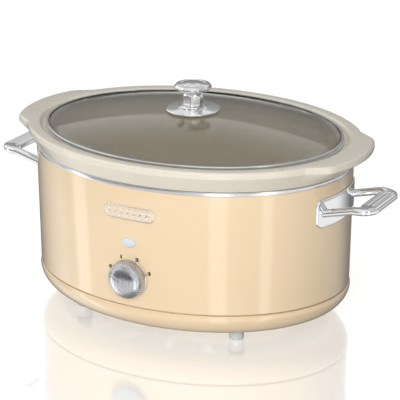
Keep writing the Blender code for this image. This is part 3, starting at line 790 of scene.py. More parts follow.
@dataclass(frozen=True)
class Moulded:
    """A moulded plastic or rubber with a fine spark-eroded texture."""

    name: str
    colour: Colour
    roughness: float
    grain: float = 900.0
    depth: float = 0.00004
    transmission: float = 0.0
    glow: float = 0.0

    def make(self) -> bpy.types.Material:
        """Builds the moulded finish.

        Returns:
            The material.
        """
        paint = Paint(self.name, self.colour, self.roughness)
        paint.set(**{"Transmission Weight": self.transmission,
                     "Emission Color": colour4(self.colour), "Emission Strength": self.glow})
        paint.tint(tuple(c * 0.82 for c in self.colour),
                   paint.effect(Effect.MOTTLE, 70.0, 0.0, 0.6))
        paint.rough(Effect.MOTTLE, 240.0, self.roughness - 0.06, self.roughness + 0.08)
        return paint.bump(paint.effect(Effect.MOTTLE, self.grain), self.depth, 0.5).material


@dataclass(frozen=True)
class Woven:
    """A woven mat of glass fibre."""

    name: str = "glass_fibre"
    colour: Colour = (0.78, 0.75, 0.66)
    thread: Colour = (0.60, 0.56, 0.46)

    def make(self) -> bpy.types.Material:
        """Builds the mat.

        Returns:
            The material.
        """
        paint = Paint(self.name, self.colour, 0.9)
        threads = paint.effect(Effect.WEAVE, 180.0)
        paint.tint(self.thread, threads)
        return paint.bump(threads, 0.0004, 0.8).material


class Palette:
    """Every finish of the cooker, each built once."""

    def __init__(self) -> None:
        """Builds the finishes."""
        self.enamel = Enamel().make()
        self.glaze = Glaze().make()
        self.chrome = Chrome().make()
        self.brushed = Brushed().make()
        self.glass = LidGlass().make()
        self.bright = SheetSteel("bright_steel", (0.74, 0.75, 0.77), (0.66, 0.67, 0.69),
                                 0.16, 0.26).make()
        self.dull = SheetSteel("aluminised_steel", (0.46, 0.46, 0.45), (0.36, 0.36, 0.35),
                               0.4, 0.55).make()
        self.zinc = SheetSteel("zinc_plate", (0.55, 0.56, 0.54), (0.42, 0.43, 0.40),
                               0.3, 0.48).make()
        self.brass = SheetSteel("brass", (0.70, 0.50, 0.22), (0.52, 0.36, 0.15),
                                0.26, 0.42).make()
        self.rubber = Moulded("pale_rubber", (0.80, 0.81, 0.82), 0.42, transmission=0.25).make()
        self.lens = Moulded("clear_lens", (0.80, 0.86, 0.93), 0.12, 300.0, 0.00002,
                            0.2, 0.04).make()
        self.black = Moulded("black_plastic", (0.02, 0.02, 0.021), 0.45).make()
        self.white = Moulded("white_plastic", (0.78, 0.77, 0.73), 0.4).make()
        self.mica = Moulded("mica_band", (0.36, 0.27, 0.17), 0.6, 300.0, 0.0003).make()
        self.fibre = Woven().make()
        self.ink = Moulded("printed_ink", (0.05, 0.022, 0.008), 0.5).make()
        self.brown = Moulded("brown_lead", (0.16, 0.07, 0.03), 0.45).make()
        self.blue = Moulded("blue_lead", (0.05, 0.14, 0.42), 0.45).make()
        self.green = Moulded("green_lead", (0.16, 0.42, 0.08), 0.45).make()


# Sub-assemblies


@dataclass
class Body:
    """The painted wrap, the base pan, the trim ring, the liner and the feet."""

    datum: Datum
    palette: Palette
    sheet: float = 0.8
    ring_top: float = 126.7
    pan_floor: float = -24.0
    pan_sheet: float = 1.0
    foot_radius: float = 7.9
    foot_recess: float = 4.4
    vent_radius: float = 2.5
    vent_pitch: float = 22.0

    def build(self) -> None:
        """Builds and dresses every piece of the body."""
        self.casing()
        self.ring()
        self.liner()
        self.pan()
        self.feet()

    def casing(self) -> None:
        """The wrap: nearly upright, with a rolled hem at the seam and a lap joint behind."""
        top = self.datum.casing_radius_top
        low = self.datum.casing_radius(0)
        high = self.ring_top - 2.5
        outline = filleted([
            (top - 1.2, high), (top - 1.2, high - 1.5, 0.3), (top, high - 2.1, 0.7),
            (low, 0.8, 0.6), (low - self.sheet - 0.6, 0.8, 0.3), (low - self.sheet - 0.6, 2.4, 0.4),
            (low - self.sheet, 3.4), (top - self.sheet, high - 2.4, 0.4),
            (top - 1.2 - self.sheet, high - 1.7), (top - 1.2 - self.sheet, high),
        ])

        def lapped(spot: tuple[float, float], angles: np.ndarray) -> np.ndarray:
            """Steps the sheet in by its lap on one side of the joint at the back.

            Args:
                spot: Radius and height of the outline's point, in millimetres.
                angles: Angles round the piece, in radians.

            Returns:
                The reach at each angle, in millimetres.
            """
            away = np.abs(angles - (math.pi / 2 + 0.02))
            groove = np.exp(-(away / 0.006) ** 2)
            return spot[0] - 0.45 * groove

        obj = turned("casing_shell", outline, self.datum, steps=720, shape=lapped)
        dress(obj, self.palette.enamel, "base", "cream_paint", "casing")

    def ring(self) -> None:
        """The bright trim ring, a rounded channel over the casing's lip."""
        top = self.datum.casing_radius_top
        low = self.ring_top - 4.1
        outline = filleted([
            (top - 7.7, self.ring_top, 0.3), (top, self.ring_top, 1.3), (top, low, 0.35),
            (top - 0.8, low, 0.3), (top - 0.8, self.ring_top - 0.8, 0.6),
            (top - 7.7, self.ring_top - 0.8, 0.3),
        ])
        obj = turned("trim_ring", outline, self.datum)
        dress(obj, self.palette.bright, "base", "bright_steel", "top_ring")

    def liner(self) -> None:
        """The sheet liner that the crock stands in, with a flange, a wall and a floor."""
        wall = spline([(162.6, 122.9), (161.6, 118.0), (158.4, 102.0), (155.6, 88.0)], 5)
        lower = spline([(153.6, 78.0), (149.6, 58.0), (144.6, 38.0)], 5)
        corner = arc((108.0, 36.0), (35.4, 30.7), 0, -90, 16)
        inner = [(162.9, 125.0), (162.7, 124.0), *wall, (154.6, 83.5), (154.3, 81.0),
                 *lower, *corner[1:], (40.0, 5.3), (38.0, 5.9), (0.0, 5.9)]
        outer = [(r, z - 0.7) for r, z in reversed(inner)]
        outline = [(166.2, 124.9), *inner, *outer[:-1], (166.2, 124.2)]
        obj = turned("liner", outline, self.datum)
        dress(obj, self.palette.dull, "base", "aluminised_steel", "heating_well")

    def pan(self) -> None:
        """The base pan: an upstand, the small bulge at the seam and the curved side."""
        side = arc((143.0, -3.0), (24.4, 21.0), -4, -90, 28)
        thin = arc((143.0, -3.0), (24.4 - self.pan_sheet, 21.0 - self.pan_sheet), -90, -4, 28)
        shoulder = filleted([(163.5, 5.8), (163.5, -0.5, 0.2), (166.4, -0.7, 0.6),
                             (side[0][0], side[0][1])], closed=False)
        floor = self.pan_floor
        outline = [*shoulder[:-1], *side, (60.0, floor), (57.0, floor + 0.8), (0.0, floor + 0.8),
                   (0.0, floor + 0.8 + self.pan_sheet), (57.6, floor + 0.8 + self.pan_sheet),
                   (60.6, floor + self.pan_sheet), *thin, (162.5, -0.9), (162.5, 5.8)]
        obj = turned("pan_shell", outline, self.datum)
        base = self.datum.origin() + Vector((0, 0, floor * MM))
        vents = [peg(f"vent_{i}", self.vent_radius, -4, 4,
                     base + Vector(((i - 1.5) * self.vent_pitch, -46.0, 0.0)) * MM)
                 for i in range(4)]
        bolts = [peg(f"bolt_{x}", 2.2, -4, 4, base + Vector((x, 0.0, 0.0)) * MM)
                 for x in (-52, 52)]
        cut(obj, vents + bolts)
        dress(obj, self.palette.enamel, "base", "cream_paint", "base_pan")

    def feet(self) -> None:
        """Four feet with a soft edge, and a skirt that swells at the pan."""
        for place in ("front_left", "front_right", "rear_left", "rear_right"):
            low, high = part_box(f"foot_{place}")
            middle = (low + high) / 2
            top = (high.z - self.datum.seam) / MM
            bottom = (low.z - self.datum.seam) / MM
            radius = self.foot_radius
            outline = filleted([
                (radius, top, 0.3), (radius, top - 2.4, 0.5), (radius - 0.7, top - 3.0, 0.6),
                (radius - 0.5, bottom + 1.0, 0.8), (radius - 1.1, bottom, 0.5),
                (self.foot_recess, bottom, 0.4), (self.foot_recess, bottom + 5.0, 0.4),
                (2.1, bottom + 5.0), (2.1, top),
            ])
            at = ((middle.x - self.datum.centre.x) / MM, (middle.y - self.datum.centre.y) / MM, 0)
            obj = turned(f"foot_pad_{place}", outline, self.datum, oval=False, steps=96, at=at)
            dress(obj, self.palette.rubber, "base", "pale_rubber", f"foot_{place}")


@dataclass
class Crock:
    """The stoneware pot with its flared collar and two end lugs."""

    datum: Datum
    palette: Palette
    rim_radius: float = 177.6
    rim_top: float = 148.4
    lug_reach: float = 11.0
    lug_half_angle: float = 24.0
    lug_blend: float = 11.0
    collar_radius: float = 168.4
    collar_low: float = 127.4
    collar_tall: float = 13.6

    def share(self, angles: np.ndarray) -> np.ndarray:
        """Gives how far the lugs stand out at each angle.

        Args:
            angles: Angles round the pot, in radians.

        Returns:
            Shares from 0 to 1.
        """
        away = np.degrees(np.arccos(np.clip(np.abs(np.cos(angles)), 0, 1)))
        share = np.clip((self.lug_half_angle + self.lug_blend / 2 - away) / self.lug_blend, 0, 1)
        return share * share * (3 - 2 * share)

    def reach(self, spot: tuple[float, float], angles: np.ndarray) -> np.ndarray:
        """Gives the plan radius of the collar at a height, with its lugs.

        Args:
            spot: Radius and height of the outline's point, in millimetres.
            angles: Angles round the pot, in radians.

        Returns:
            The reach at each angle, in millimetres.
        """
        radius, height = spot
        if radius < self.collar_radius or height < self.collar_low:
            return np.full(len(angles), radius)
        climb = min(max((height - self.collar_low) / self.collar_tall, 0.0), 1.0) ** 1.15
        edge = min(max((radius - self.collar_radius) / 4.0, 0.0), 1.0)
        return radius + self.lug_reach * self.share(angles) * climb * edge

    def build(self) -> None:
        """Builds the pot from one outline, inside and out."""
        rim, top = self.rim_radius, self.rim_top
        inner = [(0.0, 17.5), *arc((104.0, 42.0), (27.8, 24.5), -90, 0, 20)]
        wall = spline([(133.4, 50.0), (137.6, 72.0), (142.2, 98.0), (147.5, 124.0),
                       (148.6, 138.0)], 6)
        ledge = filleted([
            (148.6, 138.0), (149.4, 143.75, 2.0), (160.9, 143.75, 1.6),
            (163.9, top, 2.6), (rim - 0.2, top, 3.0), (rim - 0.1, top - 6.2, 3.2),
            (rim - 4.2, 135.4, 7.0), (168.4, 127.0, 1.4), (157.6, 127.0, 0.8),
            (156.2, 125.4, 0.8), (155.6, 122.0),
        ], closed=False, spans=7)
        outer = spline([(155.6, 122.0), (149.6, 90.0), (143.8, 60.0), (139.8, 39.0)], 6)
        foot = arc((108.0, 39.0), (31.8, 30.0), 0, -90, 20)
        outline = [*inner, *wall[:-1], *ledge, *outer[1:-1], *foot,
                   (90.0, 9.0), (86.0, 10.6), (0.0, 10.6)]
        obj = turned("crock_pot", outline, self.datum, closed=False, steps=480, shape=self.reach)
        dress(obj, self.palette.glaze, "crock", "glazed_stoneware", "crock")


@dataclass
class Lid:
    """The domed glass, its steel rim and the chrome knob."""

    datum: Datum
    palette: Palette
    glass_radius: float = 155.9
    dome_radius: float = 149.5
    edge: float = 148.2
    rise: float = 18.3
    sheet: float = 3.2

    def height(self, radius: float) -> float:
        """Gives the height of the glass's top face at a half width."""
        return self.edge + self.rise * max(0.0, 1 - (radius / self.dome_radius) ** 2)

    def build(self) -> None:
        """Builds and dresses every piece of the lid."""
        radii = [3.6] + [self.dome_radius * i / 44 for i in range(2, 44)]
        top = [(r, self.height(r)) for r in radii]
        edge = arc((self.glass_radius - 1.4, self.edge - 1.6), (1.4, 1.6), 80, -80, 8)
        below = [(r, self.height(r) - self.sheet) for r in reversed(radii)]
        glass = turned("lid_dome", [*top, (150.5, self.edge), *edge,
                                    (150.5, self.edge - self.sheet), *below], self.datum)
        dress(glass, self.palette.glass, "lid", "lid_glass", "lid_glass")
        channel = filleted([
            (154.8, 148.4, 0.1), (156.2, 148.3, 0.5), (156.3, 144.8, 0.4), (153.4, 144.75, 0.3),
            (153.4, 144.1, 0.25), (157.3, 144.1, 0.9), (157.3, 149.1, 1.3),
            (154.5, 149.1, 1.2), (154.5, 148.5, 0.1),
        ])
        rim = turned("lid_band", channel, self.datum)
        dress(rim, self.palette.bright, "lid", "bright_steel", "lid_rim")
        self.knob()

    def knob(self) -> None:
        """The knob: a dished flange, a hexagonal stem and a mushroom cap."""
        chrome = self.palette.chrome
        flange = filleted([
            (3.3, 171.2), (12.4, 171.2, 0.5), (12.8, 169.9, 0.6), (15.4, 169.1, 2.0),
            (26.6, 168.3, 0.8), (27.4, 167.6, 0.5), (27.3, 166.9, 0.3), (3.3, 166.9),
        ])
        obj = turned("knob_flange", flange, self.datum, oval=False, steps=192)
        dress(obj, chrome, "lid", "chrome", "lid_knob_flange")
        cap = filleted([
            (0.0, 194.3), (5.0, 194.2, 2.0), (11.2, 193.5, 0.5), (12.2, 192.9, 0.4),
            (13.4, 193.6, 0.5),
            (17.2, 192.8, 1.4), (18.9, 190.8, 0.9), (18.8, 189.5, 0.6), (17.8, 188.4, 0.8),
            (13.0, 186.9, 2.5), (10.2, 185.5, 1.2), (10.0, 184.2), (0.0, 184.2),
        ], closed=False)
        obj = turned("knob_cap", cap, self.datum, oval=False, closed=False, steps=192)
        dress(obj, chrome, "lid", "chrome", "lid_knob_cap")
        stem = filleted([(2.6, 171.5), (10.6, 171.5, 0.4), (10.6, 181.5, 0.8), (8.8, 183.9, 0.4),
                         (2.6, 183.9)])
        apothem = 10.4 * math.cos(math.pi / 6)
        first = math.radians(-74.7)

        def hexagon(spot: tuple[float, float], angles: np.ndarray) -> np.ndarray:
            """Cuts the turned stem down to six softened flats.

            Args:
                spot: Radius and height of the outline's point, in millimetres.
                angles: Angles round the piece, in radians.

            Returns:
                The reach at each angle, in millimetres.
            """
            turn = (angles - first) % (math.pi / 3) - math.pi / 6
            flat = apothem / np.cos(turn)
            return np.minimum(spot[0], np.minimum(flat, 10.15))

        obj = turned("knob_stem", stem, self.datum, oval=False, steps=384, shape=hexagon)
        dress(obj, chrome, "lid", "chrome", "lid_knob_stem")


def rounded_rectangle(width: float, height: float, corner: float, step: float) -> Outline:
    """Draws a rectangle with round corners and points all along its sides.

    Args:
        width: Its width.
        height: Its height.
        corner: Radius of its corners.
        step: Largest gap between points on the sides.

    Returns:
        The outline, anticlockwise.
    """
    corners = []
    for turn in range(4):
        x = (width / 2 - corner) * (1 if turn in (0, 3) else -1)
        y = (height / 2 - corner) * (1 if turn in (0, 1) else -1)
        corners.append(arc((x, y), (corner, corner), 90 * turn, 90 * turn + 90, 10))
    made: Outline = []
    for here, there in zip(corners, corners[1:] + corners[:1]):
        made += here
        start, end = Vector(here[-1]), Vector(there[0])
        count = max(1, math.ceil((end - start).length / step))
        made += [tuple(start.lerp(end, i / count)) for i in range(1, count)]
    return made


class Face(Enum):
    """The side of the casing that a draped plate lies on."""

    FRONT = "front"
    RIGHT = "right"
    LEFT = "left"


@dataclass
class Drape:
    """Lays flat drawings onto the casing's curved wall."""

    datum: Datum
    face: Face

    def spot(self, across: float, height: float, out: float) -> tuple[float, float, float]:
        """Places one drawn point.

        Args:
            across: Distance along the wall's tangent, in millimetres.
            height: Height above the seam, in millimetres.
            out: Distance out from the wall, in millimetres.

        Returns:
            The point in the frame, in metres.
        """
        oval = self.datum.oval
        centre = self.datum.centre
        z = self.datum.seam + height * MM
        if self.face is Face.FRONT:
            radius = self.datum.casing_radius(height) + out / oval
            y = -oval * math.sqrt(max(radius ** 2 - across ** 2, 0.0))
            return (centre.x + across * MM, centre.y + y * MM, z)
        radius = self.datum.casing_radius(height) + out
        x = math.sqrt(max(radius ** 2 - (across / oval) ** 2, 0.0))
        sign = 1 if self.face is Face.RIGHT else -1
        return (centre.x + sign * x * MM, centre.y + sign * across * MM, z)

    def plate(self, name: str, outline: Outline, spine: float, middle: float,
              layers: Sequence[tuple[float, float]]) -> bpy.types.Object:
        """Builds a closed plate that follows the wall.

        Args:
            name: Name of the piece.
            outline: Its outline, centred on the origin.
            spine: Half length of the line that its rings close on.
            middle: Height of its centre above the seam.
            layers: Each ring's share of the way from edge to spine, and its distance out.

        Returns:
            The plate.
        """
        rings = []
        for share, out in layers:
            ring = []
            for x, y in outline:
                inner = max(-spine, min(spine, x))
                ring.append(self.spot(x + (inner - x) * share, middle + y * (1 - share), out))
            rings.append(np.array(ring))
        return piece(name, grid_mesh(name, rings))


@dataclass
class Handles:
    """Two chrome loop handles with curved back plates."""

    datum: Datum
    palette: Palette
    root_height: float = 93.0
    grip_height: float = 101.9
    arm_across: float = 33.0
    grip_out: float = 204.4
    grip_width: float = 19.0
    grip_thick: float = 6.6
    arm_width: float = 8.8
    arm_thick: float = 7.6
    corner: float = 11.5
    start_out: float = 158.0
    root_out: float = 162.2
    plate_middle: float = 95.0
    plate_long: float = 87.0
    plate_tall: float = 29.5
    plate_corner: float = 7.0
    plate_thick: float = 1.2
    grooves: tuple[float, ...] = (-5.6, -2.0, 1.6, 5.2)

    def stations(self) -> list[tuple[float, float, float, float]]:
        """Lists the centre line of the loop.

        Returns:
            Each station's x, y, heading in degrees and share of the grip's section.
        """
        end = self.grip_out - self.corner
        root = self.root_out
        arm = [(root + (end - root) * i / 12, self.arm_across, 0.0, 0.0) for i in range(12)]
        centre = (end, self.arm_across - self.corner)
        bend = arc(centre, (self.corner, self.corner), 90, 0, 24)
        turn = [(x, y, -90.0 * i / 24, i / 24) for i, (x, y) in enumerate(bend)]
        grip = [(self.grip_out, centre[1] * (1 - i / 8), -90.0, 1.0) for i in range(1, 8)]
        half = arm + turn + grip
        far = [(x, -y, -180.0 - heading, share) for x, y, heading, share in reversed(half)]
        return half + [(self.grip_out, 0.0, -90.0, 1.0)] + far

    def rise(self, x: float) -> float:
        """Gives the height of the loop's centre line.

        Args:
            x: Distance out from the cooker's middle, in millimetres.

        Returns:
            The height above the seam, in millimetres.
        """
        share = (x - self.start_out) / (self.grip_out - self.corner - self.start_out)
        share = min(max(share, 0.0), 1.0)
        return self.root_height + (self.grip_height - self.root_height) * share

    def section(self, share: float, y: float) -> Outline:
        """Draws the loop's section, with grooves in the grip's top.

        Args:
            share: 0 on the arms and 1 on the grip.
            y: Distance along the grip from its middle, in millimetres.

        Returns:
            The section as (across, up), in millimetres.
        """
        ease = share * share * (3 - 2 * share)
        wide = self.arm_width + (self.grip_width - self.arm_width) * ease
        tall = self.arm_thick + (self.grip_thick - self.arm_thick) * ease
        power = 0.85 - 0.35 * ease
        fade = min(max((24.0 - abs(y)) / 3.0, 0.0), 1.0) * (1.0 if share > 0.9 else 0.0)
        made: Outline = []
        count = 160
        for i in range(count):
            angle = 2 * math.pi * i / count
            c, s = math.cos(angle), math.sin(angle)
            across = math.copysign(abs(c) ** power, c) * wide / 2
            up = math.copysign(abs(s) ** power, s) * tall / 2
            if up > 0 and fade > 0:
                dip = sum(math.exp(-((across - g) / 0.6) ** 2) for g in self.grooves)
                up -= 0.8 * fade * dip
            made.append((across, up))
        return made

    def loop_mesh(self, name: str, sign: int) -> bpy.types.Mesh:
        """Lofts the loop on one side of the cooker.

        Args:
            name: Name of the mesh.
            sign: 1 on the right and -1 on the left.

        Returns:
            The loop's mesh, with closed ends.
        """
        rings = []
        origin = self.datum.origin()
        for x, y, heading, share in self.stations():
            turn = math.radians(heading)
            side = Vector((-math.sin(turn), math.cos(turn), 0))
            ring = []
            for across, up in self.section(share, y):
                spot = Vector((x, y, self.rise(x))) + side * across + Vector((0, 0, up))
                spot = Vector((sign * spot.x, sign * spot.y, spot.z))
                ring.append(tuple(origin + spot * MM))
            rings.append(np.array(ring))
        caps = [np.repeat(ring.mean(axis=0)[None], len(ring), axis=0)
                for ring in (rings[0], rings[-1])]
        return grid_mesh(name, [caps[0], *rings, caps[1]])

    def build(self) -> None:
        """Builds both handles and their plates."""
        outline = rounded_rectangle(self.plate_long, self.plate_tall, self.plate_corner, 2.5)
        lip = self.plate_thick + 0.3
        recess = lip - 0.4
        layers = [(1.0, 0.3), (0.5, 0.3), (0.0, 0.3), (0.0, lip - 0.5), (0.02, lip - 0.12),
                  (0.05, lip), (0.09, lip), (0.13, lip - 0.15), (0.17, recess), (0.3, recess),
                  (0.5, recess), (0.8, recess), (1.0, recess)]
        for side, sign, face in (("right", 1, Face.RIGHT), ("left", -1, Face.LEFT)):
            loop = piece(f"loop_{side}", self.loop_mesh(f"loop_{side}", sign), 50.0)
            dress(loop, self.palette.chrome, "base", "chrome", f"handle_{side}")
            drape = Drape(self.datum, face)
            plate = drape.plate(f"back_plate_{side}", outline,
                                (self.plate_long - self.plate_tall) / 2, self.plate_middle, layers)
            dress(plate, self.palette.chrome, "base", "chrome", f"handle_plate_{side}")


@dataclass
class Front:
    """The badge, the lamp's lens, the dial, its skirt and the printed scale."""

    datum: Datum
    palette: Palette
    badge_height: float = 97.2
    badge_long: float = 55.6
    badge_tall: float = 14.0
    badge_corner: float = 5.5
    lens_height: float = 66.7
    lens_long: float = 16.0
    lens_tall: float = 9.5
    dial_height: float = 30.0
    dial_radius: float = 19.3
    dial_back: float = 131.3
    dial_shoulder: float = 133.9
    dial_front: float = 144.45
    flutes: int = 44
    pointer: float = -67.5
    pointer_span: tuple[float, float] = (2.0, 15.5)
    pointer_depth: float = 0.7
    pointer_half: float = 0.9
    scale_radius: float = 23.4
    scale_drop: float = 1.3
    scale_angles: tuple[float, ...] = (-67.5, -22.5, 22.5, 67.5)

    def build(self) -> None:
        """Builds and dresses every piece on the front."""
        self.badge()
        self.lens()
        self.dial()
        self.printing()

    def dome_front(self, radius: float) -> float:
        """Gives how far the dial's dome stands in front of the centre line at a radius."""
        share = max(0.0, 1 - (radius / self.dial_radius) ** 2.5)
        return self.dial_shoulder + (self.dial_front - self.dial_shoulder) * share ** 0.4

    def badge(self) -> None:
        """A bright frame round a painted field with a plain row of raised waves."""
        drape = Drape(self.datum, Face.FRONT)
        outline = rounded_rectangle(self.badge_long, self.badge_tall, self.badge_corner, 2.0)
        spine = (self.badge_long - self.badge_tall) / 2
        frame_layers = [(1.0, 0.3), (0.0, 0.3), (0.0, 1.1), (0.03, 1.35), (0.06, 1.4),
                        (0.11, 1.4), (0.14, 1.3), (0.15, 1.1), (0.15, 0.9), (0.6, 0.9),
                        (1.0, 0.9)]
        obj = drape.plate("badge_frame", outline, spine, self.badge_height, frame_layers)
        dress(obj, self.palette.chrome, "base", "chrome", "badge")
        inner = rounded_rectangle(self.badge_long - 2.2, self.badge_tall - 2.2,
                                  self.badge_corner - 1.1, 2.0)
        field_layers = [(1.0, 0.9), (0.0, 0.9), (0.0, 1.15), (0.05, 1.25), (0.6, 1.25),
                        (1.0, 1.25)]
        obj = drape.plate("badge_field", inner, spine, self.badge_height, field_layers)
        dress(obj, self.palette.enamel, "base", "cream_paint")
        for index, x in enumerate((-21.0, -14.0, -7.0, 0.0, 7.0, 14.0, 21.0)):
            self.wave(drape, index, x)

    def wave(self, drape: Drape, index: int, x: float) -> None:
        """Raises one upright wave of bright metal on the badge.

        Args:
            drape: Lays points on the casing.
            index: Number of the wave.
            x: Where it stands across the badge, in millimetres.
        """
        rings = []
        for step in range(25):
            height = -4.9 + 9.8 * step / 24
            sway = 1.3 * math.sin(height * math.pi / 4.9)
            fat = 1.5 * math.sqrt(max(1 - (abs(height) / 4.95) ** 6, 0.02))
            ring = [drape.spot(x + sway + fat * math.cos(a), self.badge_height + height,
                               1.25 + 0.55 * max(math.sin(a), -0.1))
                    for a in np.linspace(0, 2 * math.pi, 16, endpoint=False)]
            rings.append(np.array(ring))
        caps = [np.repeat(ring.mean(axis=0)[None], 16, axis=0) for ring in (rings[0], rings[-1])]
        mesh = grid_mesh(f"badge_wave_{index}", [caps[0], *rings, caps[1]])
        dress(piece(f"badge_wave_{index}", mesh), self.palette.chrome, "base", "chrome")

    def lens(self) -> None:
        """The oval lens, a low dome in a fine dark gap."""
        drape = Drape(self.datum, Face.FRONT)
        angles = np.linspace(0, 2 * math.pi, 96, endpoint=False)
        rings = []
        for share, out in ((0.0, 0.2), (1.0, 0.2), (1.0, 0.5), (0.985, 0.8), (0.94, 1.2),
                           (0.86, 1.65), (0.74, 2.1), (0.58, 2.45), (0.38, 2.7), (0.18, 2.8),
                           (0.0, 2.82)):
            ring = [drape.spot(self.lens_long / 2 * share * math.cos(a),
                               self.lens_height + self.lens_tall / 2 * share * math.sin(a), out)
                    for a in angles]
            rings.append(np.array(ring))
        obj = piece("lamp_lens", grid_mesh("lamp_lens", rings))
        dress(obj, self.palette.lens, "base", "clear_lens", "indicator_lens")

    def dial(self) -> None:
        """The dial: a domed, brushed face over a finely fluted edge, with a sunk pointer."""
        radius, back, shoulder = self.dial_radius, self.dial_back, self.dial_shoulder
        turns = np.radians(np.linspace(0.0, 90.0, 46))
        dome = [(radius * math.cos(t) ** 0.8, self.dome_front(radius * math.cos(t) ** 0.8))
                for t in turns[:-1]]
        barrel = [(radius, back + 0.6 + (shoulder - back - 0.6) * i / 4) for i in range(4)]
        inner = spline([(17.2, 131.6), (17.0, 135.6), (16.0, 138.0), (13.6, 140.4),
                        (10.2, 141.5), (0.0, 142.0)], 3)
        outline = [(radius - 0.4, back), (radius - 0.1, back + 0.2), *barrel, *dome,
                   (0.0, self.dial_front), *reversed(inner), (17.3, back)]
        count = self.flutes

        def fluted(spot: tuple[float, float], angles: np.ndarray) -> np.ndarray:
            """Cuts the flutes into the edge, fading over the dome and at the skirt.

            Args:
                spot: Radius and height of the outline's point, in millimetres.
                angles: Angles round the piece, in radians.

            Returns:
                The reach at each angle, in millimetres.
            """
            low = min(max((spot[1] - back - 0.2) / 1.0, 0.0), 1.0)
            high = min(max((spot[0] / radius - 0.78) / 0.14, 0.0), 1.0)
            outside = spot[1] > self.dome_front(spot[0]) - 0.1 or spot[0] > radius - 0.1
            wave = (0.5 + 0.5 * np.cos(count * angles)) ** 1.5
            return spot[0] - 0.6 * low * high * wave * outside

        obj = turned("dial", outline, self.datum, oval=False, steps=count * 10,
                     at=(0.0, 0.0, self.dial_height), axis=Axis.FORWARD, shape=fluted)
        centre = self.datum.origin() + Vector((0, 0, self.dial_height * MM))
        aim = math.radians(90 - self.pointer)
        along = Vector((math.cos(aim), 0, math.sin(aim)))
        first, last = self.pointer_span
        for vertex in obj.data.vertices:
            spot = (vertex.co - centre) / MM
            forward = along.x * spot.x + along.z * spot.z
            aside = along.x * spot.z - along.z * spot.x
            height = self.dome_front(math.hypot(spot.x, spot.z))
            if -spot.y > height - 0.3 and first < forward < last:
                vertex.co.y += (self.pointer_depth * MM
                                * math.exp(-(aside / self.pointer_half) ** 4))
        dress(obj, self.palette.brushed, "dial", "brushed_metal", "dial_knob")

        low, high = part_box("dial_bezel")
        near = (self.datum.centre.y - low.y) / MM
        outline = filleted([(4.4, near), (19.6, near, 0.4), (19.9, near - 0.5, 0.3),
                            (19.9, near - 1.6), (4.4, near - 1.6)])
        obj = turned("dial_skirt", outline, self.datum, oval=False, steps=160,
                     at=(0.0, 0.0, self.dial_height), axis=Axis.FORWARD)
        dress(obj, self.palette.chrome, "base", "chrome", "dial_bezel")

    def printing(self) -> None:
        """Plain numbers printed round the dial."""
        drape = Drape(self.datum, Face.FRONT)
        for number, degrees in enumerate(self.scale_angles):
            aim = math.radians(90 - degrees)
            x = self.scale_radius * math.cos(aim)
            height = self.dial_height - self.scale_drop + self.scale_radius * math.sin(aim)
            curve = bpy.data.curves.new(f"number_{number}", "FONT")
            curve.body = str(number)
            curve.size = 4.6
            curve.offset = 0.3
            curve.align_x = "CENTER"
            curve.align_y = "CENTER"
            curve.resolution_u = 8
            text = bpy.data.objects.new(f"number_{number}", curve)
            bpy.context.scene.collection.objects.link(text)
            bpy.context.view_layer.update()
            graph = bpy.context.evaluated_depsgraph_get()
            mesh = bpy.data.meshes.new_from_object(text.evaluated_get(graph))
            bpy.data.objects.remove(text)
            for vertex in mesh.vertices:
                vertex.co = Vector(drape.spot(x + vertex.co.x * 1.5, height + vertex.co.y, 0.06))
            obj = piece(f"number_{number}", mesh)
            film = obj.modifiers.new("Film", "SOLIDIFY")
            film.thickness = 0.05 * MM
            film.offset = 1
            dress(obj, self.palette.ink, "base", "cream_paint")


@dataclass
class Inlet:
    """The cord's gland at the back."""

    datum: Datum
    palette: Palette
    height: float = 14.0
    bore: float = 3.6

    def build(self) -> None:
        """Builds the gland: a stepped collar with a flared mouth."""
        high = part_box("cord_gland")[1]
        rear = (high.y - self.datum.centre.y) / MM
        outline = filleted([
            (self.bore + 0.9, rear, 0.3), (7.0, rear, 0.7), (8.2, rear - 0.9, 0.5),
            (8.2, rear - 2.9, 0.4), (5.8, rear - 3.1, 0.2), (5.8, rear - 9.3, 0.3),
            (self.bore, rear - 9.3, 0.3), (self.bore, rear - 1.4, 0.8),
        ])
        obj = turned("inlet_gland", outline, self.datum, oval=False, steps=96,
                     at=(0.0, 0.0, self.height), axis=Axis.BACKWARD)
        dress(obj, self.palette.black, "base", "black_plastic", "cord_gland")


@dataclass
class Interior:
    """The carried-over nodes behind the panels, each with the finish of its kind."""

    palette: Palette
    finishes: dict[str, str] = field(default_factory=lambda: {
        "aluminised_steel": "dull", "zinc_plate": "zinc", "brass": "brass",
        "black_plastic": "black", "white_plastic": "white", "mica_band": "mica",
        "glass_fibre_mat": "fibre", "pale_rubber": "rubber", "clear_lens": "lens",
        "brown_lead": "brown", "blue_lead": "blue", "green_lead": "green",
        "chrome": "chrome", "bright_steel": "bright", "brushed_metal": "brushed",
        "cream_paint": "enamel", "glazed_stoneware": "glaze", "lid_glass": "glass"})

    def build(self) -> None:
        """Gives every node that still shows its procedural material."""
        slots = {row["node"]: row["material_slot"] for row in frame["record"]["subparts"]}
        for name, node in frame["nodes"].items():
            if node.hide_render:
                continue
            material = getattr(self.palette, self.finishes[slots[name]])
            node.data.materials.clear()
            node.data.materials.append(material)
            log.info("%s keeps its shape", name)


# Studio


@dataclass(frozen=True)
class Strip:
    """A tall soft strip of light that only shows in reflections."""

    azimuth: float
    half_width: float
    soft: float
    strength: float


@dataclass(frozen=True)
class Lamp:
    """A soft square lamp that hangs round the cooker."""

    name: str
    azimuth: float
    elevation: float
    size: float
    power: float


